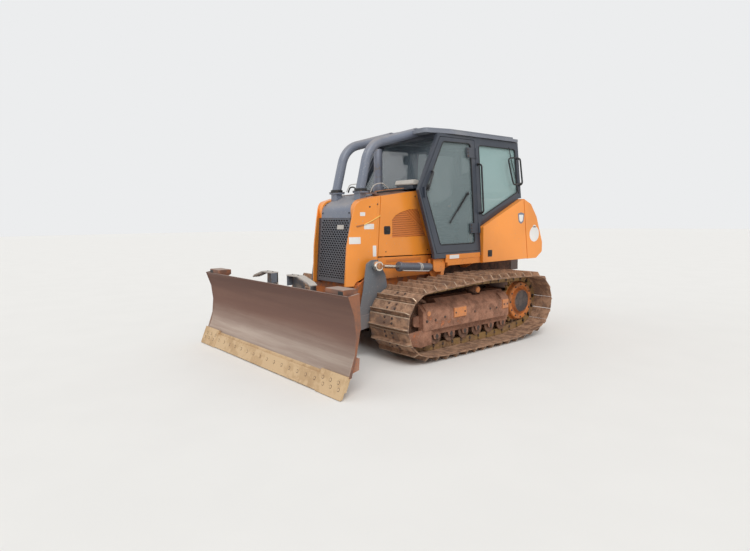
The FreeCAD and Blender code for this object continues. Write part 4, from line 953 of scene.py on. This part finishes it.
def hood_top_details():
    """Collars and bolts of the guard tubes' feet, hoses, wires and the cowl ahead of the windscreen."""
    piece = Piece("sweep_fittings", black_plastic, bolt_steel, blue_grey)
    x, s = TUBE_FOOT
    for side in (-1, 1):
        for dx, ds in ((-70, -55), (70, -55), (-70, 55), (70, 55)):
            piece.bolt((side * x + dx, s + 3 + ds, 1956), UP, 13, 1)
        piece.turned([(0, 76), (30, 76), (36, 70)], (side * x, s, 1955), UP, 0, 28)
        for across, along in circle(4, 0.5):
            piece.rod(*((side * x + away * across, s + away * along, 1950) for away in (62, 88)), 11, 0, 8)
    piece.done("root", 2)
    lines = Piece("hood_hoses", rubber, pale_trim, rust)
    # Hoses and wires (radius, material, stops)
    for radius, paint, stops in (
            (9, 0, [(150, 330, 1948), (60, 330, 2010), (-60, 360, 2012), (-150, 400, 1962)]),
            (6, 1, [(300, 390, 1944), (330, 430, 2030), (332, 560, 2052), (300, 690, 1985)]),
            (5, 1, [(205, 330, 1950), (140, 345, 2040), (30, 350, 2052), (-60, 352, 2040), (-120, 350, 1965)]),
            (11, 0, [(395, 420, 1938), (398, 560, 1958), (395, 760, 1972), (380, 905, 1990)]),
            (8, 2, [(345, 425, 1950), (352, 600, 1972), (350, 800, 1992), (340, 960, 2006)])):
        lines.tube(stops, radius, paint)
    lines.done("root", 0)
    cowl = Piece("windscreen_cowl", pale_trim, charcoal, rubber)
    cowl.prism([(880, 2040, 14), (972, 2044, 10), (1000, 2092, 14), (905, 2108, 26)], "x", 190, 520)
    cowl.prism([(900, 1990, 4), (976, 1998, 4), (976, 2046, 4), (900, 2044, 4)], "x", 206, 504, 1)
    cowl.prism([(850, 1980, 6), (1004, 1988, 6), (1004, 2002, 4), (850, 1996, 4)], "x", -420, 440, 1)
    cowl.done("root", 3)


hood_top_details()


def shroud_details():
    """Bolts on the plate over the grille."""
    piece = Piece("shroud_fittings", black_plastic, bolt_steel)
    for side in (-1, 1):
        piece.bolt((side * 272, 84, 1700), (0, -1, 0.05), 8, 0)
        piece.bolt((side * 272, 130, 1795), (0, -0.6, 1), 8, 0)
    piece.done("root", 0.8)


shroud_details()


# Cab details
DOOR_GLASS = [(1206, 1290, 30), (990, 1968, 40), (1345, 2590, 50), (1870, 2600, 50), (1870, 1290, 40)]
SIDE_GLASS = [(2040, 1640, 30), (2040, 2590, 40), (2840, 2590, 40), (2860, 1985, 30)]


def shrunk(corners, gap):
    """Outline drawn in towards its middle by a gap."""
    points = rounded(corners, 6)
    middle = middle_of(points)
    result = []
    for i, p in enumerate(points):
        run = (points[(i + 1) % len(points)] - points[i - 1]).normalized()
        inward = Vector((-run.y, run.x))
        if inward.dot(middle - p) < 0:
            inward = -inward
        result.append(p + inward * gap)
    return result


def cab_door(name, body, side):
    """Seal round the pane, hinge plates with their bolts, handle and wiper."""
    piece = Piece(name, rubber, charcoal, bolt_steel, black_plastic, side=side, place=leaned)
    face = CAB_LOW
    piece.tube([(face - 3, s, z) for s, z in shrunk(DOOR_GLASS, -2)], 8, 0, 8, 0, True)
    for middle in (1486, 2481):
        low, high = middle - 66, middle + 66
        piece.prism([(1778, low, 12), (1948, low, 6), (1948, high, 6), (1778, high, 12)], "x", face - 1, face + 9, 1)
        for rise in (-42, 0, 42):
            piece.bolt((face + 9, 1806, middle + rise), OUT, 11, 2)
        piece.turned([(0, 15), (130, 15)], (face + 12, 1960, middle - 65), UP, 1, 16)
    # Handle along the slanted edge, and its lock
    piece.tube([(face + 2, 1016, 1996), (face + 34, 1026, 2018), (face + 36, 1068, 2110), (face + 34, 1104, 2186),
                (face + 2, 1114, 2208)], 12, 3, 10, 5)
    piece.prism([(1004, 1962, 12), (1046, 1962, 12), (1058, 2040, 12), (1018, 2040, 12)], "x", face - 1, face + 10, 3)
    # Wiper arm and blade on the pane
    piece.rod((face + 4, 1770, 1940), (face + 10, 1560, 1722), 5, 3, 8)
    piece.prism([(1760, 1950), (1772, 1936), (1410, 1556), (1398, 1570)], "x", face - 10, face - 2, 3)
    piece.turned([(0, 20), (12, 20), (18, 12)], (face - 4, 1774, 1944), OUT, 3, 16)
    piece.done(body, 1.5)


for side, word in SIDES:
    cab_door("cab_door_fittings_" + word, "cab_door_" + word[0], side)


def cab_trim():
    """Seals, rails and lamps of the cab's fixed walls."""
    for side, word in SIDES:
        piece = Piece("cab_seals_" + word, rubber, black_plastic, charcoal, side=side, place=leaned)
        piece.tube([(CAB_LOW - 3, s, z) for s, z in shrunk(SIDE_GLASS, -2)], 8, 0, 8, 0, True)
        piece.rod((CAB_LOW + 1, 2700, 2612), (CAB_LOW + 1, 2890, 1965), 5, 0, 8)
        # Front half of the loop whose rear bar is the rail on the pillar (distance out, station, height)
        loop = [(54, 2884, 2440), (56, 2800, 2462), (56, 2650, 2448), (56, 2612, 2420), (56, 2622, 2360),
                (56, 2688, 2120), (56, 2722, 2084), (56, 2800, 2090), (54, 2906, 2110)]
        piece.tube([(CAB_LOW + out, s, z) for out, s, z in loop], 11, 1, 10, 4)
        piece.done("root", 0)
    for side, word in SIDES:
        ledge = Piece("sill_strip_" + word, orange_low, sticker_white, side=side)
        ledge.prism([(1292, 1098, 4), (1964, 1098, 4), (1964, 1160, 8), (1292, 1160, 8)], "x", 690, 704)
        ledge.plate((1290, 1060), (1330, 1112), 4, "x", 690, 702)
        if side > 0:
            ledge.plate((1358, 1104), (1539, 1152), 5, "x", 703.5, 705, 1)
        ledge.done("root", 2)
    lamp = Piece("lamp_lenses", lamp_lens, black_plastic)
    for x in (-420, 420):
        lamp.plate((x - 48, 2612), (x + 48, 2680), 12, "s", 2978, 2984)
        lamp.prism([(x - 60, 2596, 10), (x + 60, 2596, 10), (x + 60, 2604, 2), (x - 60, 2604, 2)], "s", 2960, 2990, 1)
    lamp.done("root", 1.5)
    roof = Piece("roof_trim", roof_paint, black_plastic, bolt_steel)
    for x in (-238, 238):
        roof.plate((x - 84, 1150), (x + 84, 1262), 14, "z", 2752, 2768)
        for dx in (-70, 70):
            roof.bolt((x + dx, 1236, 2768), UP, 9, 2)
    for x in (-300, 0, 300):
        roof.plate((x - 60, 1250), (x + 60, 2760), 30, "z", 2755, 2768)
    roof.done("root", 3)


cab_trim()


# Seat: padded cushions in woven cloth
PAD_VOXEL = 0.012              # metres
PAD_SWELL = 0.010              # most that a point of a cushion moves, in metres
PAD_PRESSURE = 4             # of the filling, in the cloth simulation
PAD_STEPS = 20


def inflated(data, name):
    """The cushion's cover under the pressure of its filling, as a mesh, with no point moved far."""
    draft = bpy.data.objects.new(name + "_draft", data)
    bpy.context.scene.collection.objects.link(draft)
    remesh = draft.modifiers.new("remesh", "REMESH")
    remesh.mode = "VOXEL"
    remesh.voxel_size = PAD_VOXEL
    graph = bpy.context.evaluated_depsgraph_get()
    fine = bpy.data.meshes.new_from_object(draft.evaluated_get(graph))
    draft.modifiers.clear()
    draft.data = fine
    cover = draft.modifiers.new("cloth", "CLOTH")
    cover.settings.use_pressure = True
    cover.settings.uniform_pressure_force = PAD_PRESSURE
    cover.settings.effector_weights.gravity = 0
    scene = bpy.context.scene
    for step in range(1, PAD_STEPS + 1):
        scene.frame_set(step)
    puffed = bpy.data.meshes.new_from_object(draft.evaluated_get(bpy.context.evaluated_depsgraph_get()))
    for now, before in zip(puffed.vertices, fine.vertices):
        shift = now.co - before.co
        if shift.length > PAD_SWELL:
            now.co = before.co + shift.normalized() * PAD_SWELL
    scene.frame_set(1)
    bpy.data.objects.remove(draft)
    return puffed


def pad(name, corners, width):
    """Crowned cushion: an outline in (station, height) swept across, with its sides drawn in."""
    points = rounded(corners, 4)
    middle = middle_of(points)
    rings = []
    for k in range(11):
        u = -1 + 2 * k / 10
        scale = 0.62 + 0.38 * (1 - abs(u) ** 3) ** 0.5
        rings.append([(u * width, *(middle + (p - middle) * scale)) for p in points])
    piece = Piece(name)
    piece.shell(rings)
    data = piece.baked()
    data = inflated(data, name)
    made = settle(data, name, (seat_cloth,), "root", 0, (), 180)
    smooth = made.modifiers.new("round", "SUBSURF")
    smooth.levels = 1
    smooth.render_levels = 1


def seat():
    """Driver's seat: cushions on a plastic shell and a bellows base."""
    base = Piece("seat_base", black_plastic, rubber)
    base.plate((-190, 2010), (190, 2370), 0, "z", 1202, 1290)
    for k in range(5):
        z = 1290 + k * 60
        base.shell([[(-150 - w, 2050 - w, z + up), (150 + w, 2050 - w, z + up), (150 + w, 2330 + w, z + up),
                     (-150 - w, 2330 + w, z + up)] for w, up in ((0, 0), (26, 30), (0, 60))], 1)
    base.prism([(1880, 1600, 20), (2430, 1590, 30), (2560, 2210, 30), (2500, 2230, 20), (2390, 1660, 30),
                (1880, 1650, 14)], "x", -215, 215)
    for x in (-252, 252):
        base.prism([(2080, 1800, 18), (2370, 1812, 18), (2370, 1858, 20), (2080, 1846, 20)], "x", x - 30, x + 30)
    base.done("root", 6, ("seat",))
    pad("seat_cushion", [(1856, 1660, 30), (2380, 1648, 40), (2392, 1730, 40), (1950, 1768, 50), (1858, 1738, 36)],
        242)
    pad("seat_back", [(2330, 1722, 36), (2412, 1700, 36), (2520, 2080, 40), (2450, 2096, 44)], 222)
    pad("seat_headrest", [(2464, 2140, 30), (2526, 2128, 30), (2562, 2280, 36), (2506, 2300, 36)], 132)


seat()


# Rear body details
def rear_details():
    """Latches, badge and blank stickers of the rear doors."""
    for side, word in SIDES:
        piece = Piece("rear_door_fittings_" + word, black_plastic, rubber, sticker_white, blue_grey, side=side)
        piece.plate((2078, 1094), (2168, 1184), 10, "x", FENDER - 3, FENDER + 3)
        piece.plate((2096, 1114), (2150, 1164), 8, "x", FENDER + 2, FENDER + 8, 1)
        if side > 0:
            shield = [(2742, 1672, 14), (2760, 1560, 30), (2818, 1524, 20), (2876, 1560, 30), (2892, 1672, 14),
                      (2816, 1690, 20)]
            piece.prism(shield, "x", FENDER - 0.5, FENDER + 2, 3)
            inner = [(2766, 1656, 10), (2778, 1572, 22), (2818, 1550, 14), (2858, 1572, 22), (2868, 1656, 10)]
            piece.prism(inner, "x", FENDER + 1.5, FENDER + 2.6, 2)
        piece.done("rear_door_" + word[0], 0.8)
    # Disc with a small peak, blank
    round_blank = Piece("rear_blank_sticker", sticker_white)
    outline = [(3151 + 118 * c, 1372 + 112 * s) for c, s in circle(40)]
    peak = [(3100, 1470, 10), (3205, 1470, 10), (3175, 1504, 12), (3130, 1506, 12)]
    for corners in (outline, peak):
        round_blank.prism(corners, "x", FENDER - 0.5, FENDER + 1)
    round_blank.done("root", 0)


rear_details()


# Lift cylinder details
def lift_details(side, word):
    """Gland, bands, pin caps and pipe of a lift cylinder."""
    eye = Vector(LIFT_EYE)
    pin = Vector(LIFT_PIN)
    run = (eye - pin).normalized()
    barrel = Piece("lift_barrel_fittings_" + word, barrel_paint, pale_trim, rust, rubber, side=side)
    barrel.turned([(0, 57), (3, 59), (40, 59), (44, 56), (44, 40)], pin + run * 560, run, 0, 32)
    barrel.turned([(0, 55), (16, 55)], pin + run * 232, run, 1, 32)
    barrel.turned([(0, 56), (12, 56)], pin + run * 262, run, 1, 32)
    barrel.turned([(0, 34), (3, 36), (10, 36), (12, 32)], pin + Vector((26, 0, 0)), OUT, 2, 24)
    # Pipe along the barrel's lower outer side (distance along the barrel, distance from its axis)
    low_side = Vector((1, -run.z, run.y)).normalized()
    pipe = ((110, 46), (130, 60), (200, 63), (400, 63), (540, 63), (566, 50))
    barrel.tube([pin + run * along + low_side * away for along, away in pipe], 7, 1, 10, 5)
    barrel.done("lift_barrel_" + word[0], 1)
    tip = Piece("lift_rod_fittings_" + word, rust, chrome, side=side)
    tip.turned([(0, 34), (4, 37), (10, 37), (12, 33)], eye + Vector((25, 0, 0)), OUT, 0, 24)
    tip.turned([(0, 30), (36, 24.5)], eye - run * 46, -run, 0, 24)
    tip.done("lift_rod_" + word[0], 1)


for side, word in SIDES:
    lift_details(side, word)


# Blade details
def blade_details():
    """Bolts of the edge plates, the dark plates of painted shade on the blade's top corners and the covers of the
    hose guards.
    """
    seam = (-935.2, 190)
    tip = (-1036, 8)
    thick = 24
    rise = math.atan2(seam[1] - tip[1], seam[0] - tip[0]) + math.asin(thick / math.dist(seam, tip))

    def on_edge(x, up, depth=0):
        return (x, tip[0] + up * math.cos(rise) + depth * math.sin(rise),
                tip[1] + up * math.sin(rise) - depth * math.cos(rise))
    out = (0, -math.sin(rise), math.cos(rise))
    bolts = Piece("edge_bolts", bolt_steel, edge_steel)

    def head(centre):
        """Ploughed bolt head in a dark ring, which is a painted shadow round the head."""
        bolts.turned([(0, 19), (1.5, 18)], centre, out, 0, 16)
        bolts.turned([(1, 15), (4, 13)], centre, out, 1, 16)
    for x in range(-1100, 1101, 157):
        head(on_edge(x, 108, 4))
    for side in (-1, 1):
        for k in range(3):
            x = side * (1228 + k * 125)
            head(on_edge(x, 148))
            head(on_edge(x + side * 28, 88))
    bolts.done("blade", 0.6)
    # Dark plates in the open ends of the corner boxes: painted shade inside the hollows
    boxes = Piece("blade_box_recess_shade", rubber)
    boxes.plate((1392, 924), (1470, 976), 6, "s", -906.5, -900)
    boxes.mirror()
    boxes.done("blade", 1)
    covers = Piece("hose_guard_covers", pale_trim, grey_trim, bolt_steel)
    for side in (-1, 1):
        top = [(170, 1009), (398, 1009), (592, 954), (634, 930), (640, 942), (596, 968), (402, 1023), (170, 1023)]
        covers.prism([(side * x, z, 3) for x, z in top], "s", -722, -630)
        covers.plate((side * 170, 900), (side * 182, 1012), 0, "s", -720, -636, 1)
        for x in (220, 340):
            covers.bolt((side * x, -676, 1023), UP, 8, 2)
    covers.done("swivel", 1.5)


blade_details()


# Stage, light and camera
floor_mesh = bpy.data.meshes.new("floor")
ground = bmesh.new()
bmesh.ops.create_circle(ground, cap_ends=True, segments=96, radius=60)
ground.to_mesh(floor_mesh)
ground.free()
floor = bpy.data.objects.new("floor", floor_mesh)
bpy.context.scene.collection.objects.link(floor)
floor_mesh.materials.append(even("floor_pale", (232, 230, 226)))

world = bpy.data.worlds.new("studio")
bpy.context.scene.world = world
world.use_nodes = True
tree = world.node_tree
tree.nodes.clear()


def joined(kind, *inputs, operation=None):
    """Node of the world's tree with its inputs joined in order; returns its first output."""
    node = tree.nodes.new(kind)
    if operation:
        node.operation = operation
    for socket, value in zip(node.inputs, inputs):
        if isinstance(value, bpy.types.NodeSocket):
            tree.links.new(value, socket)
        else:
            socket.default_value = value
    return node.outputs[0]


# The camera, gloss and panes see the pale backdrop; everything else is lit by the dimmer ambient
rays = tree.nodes.new("ShaderNodeLightPath").outputs
through = joined("ShaderNodeMath", rays["Is Transmission Ray"], rays["Is Glossy Ray"], operation="MAXIMUM")
seen = joined("ShaderNodeMath", rays["Is Camera Ray"], through, operation="MAXIMUM")
ambient = joined("ShaderNodeBackground", (0.97, 0.985, 1.0, 1.0), 0.62)
backdrop = joined("ShaderNodeBackground", tint((236, 237, 238)), 1.0)
tree.links.new(joined("ShaderNodeMixShader", seen, ambient, backdrop),
               tree.nodes.new("ShaderNodeOutputWorld").inputs["Surface"])


def sun(name, strength, spread, toward):
    """Broad soft light from a direction."""
    light = bpy.data.lights.new(name, "SUN")
    light.energy = strength
    light.angle = math.radians(spread)
    lamp = bpy.data.objects.new(name, light)
    lamp.rotation_euler = Vector(toward).to_track_quat("Z", "Y").to_euler()
    bpy.context.scene.collection.objects.link(lamp)


sun("key", 1.7, 34.0, (0.62, -0.38, 0.80))
sun("fill", 0.35, 60.0, (-0.5, -0.7, 0.45))

CAMERA = (5428.0, -3818.0, 1659.0)
YAW = math.radians(50.23)
PITCH = math.radians(6.23)
ROLL = math.radians(-0.6)
SENSOR = 36.0
FOCAL = SENSOR * 544.6 / 750 # from its length in pixels, of a frame 750 wide
forward = Vector((-math.sin(YAW) * math.cos(PITCH), math.cos(YAW) * math.cos(PITCH), -math.sin(PITCH)))
right = Vector((math.cos(YAW), math.sin(YAW), 0.0))
upward = right.cross(forward)
right_rolled = right * math.cos(ROLL) + upward * math.sin(ROLL)
up_rolled = upward * math.cos(ROLL) - right * math.sin(ROLL)
camera_data = bpy.data.cameras.new("camera")
camera_data.sensor_fit = "HORIZONTAL"
camera_data.sensor_width = SENSOR
camera_data.lens = FOCAL
camera = bpy.data.objects.new("camera", camera_data)
turn = Matrix((right_rolled, up_rolled, -forward)).transposed()
camera.matrix_world = Matrix.Translation(at(*CAMERA)) @ turn.to_4x4()
bpy.context.scene.collection.objects.link(camera)
bpy.context.scene.camera = camera
bpy.context.scene.view_settings.view_transform = "Standard"
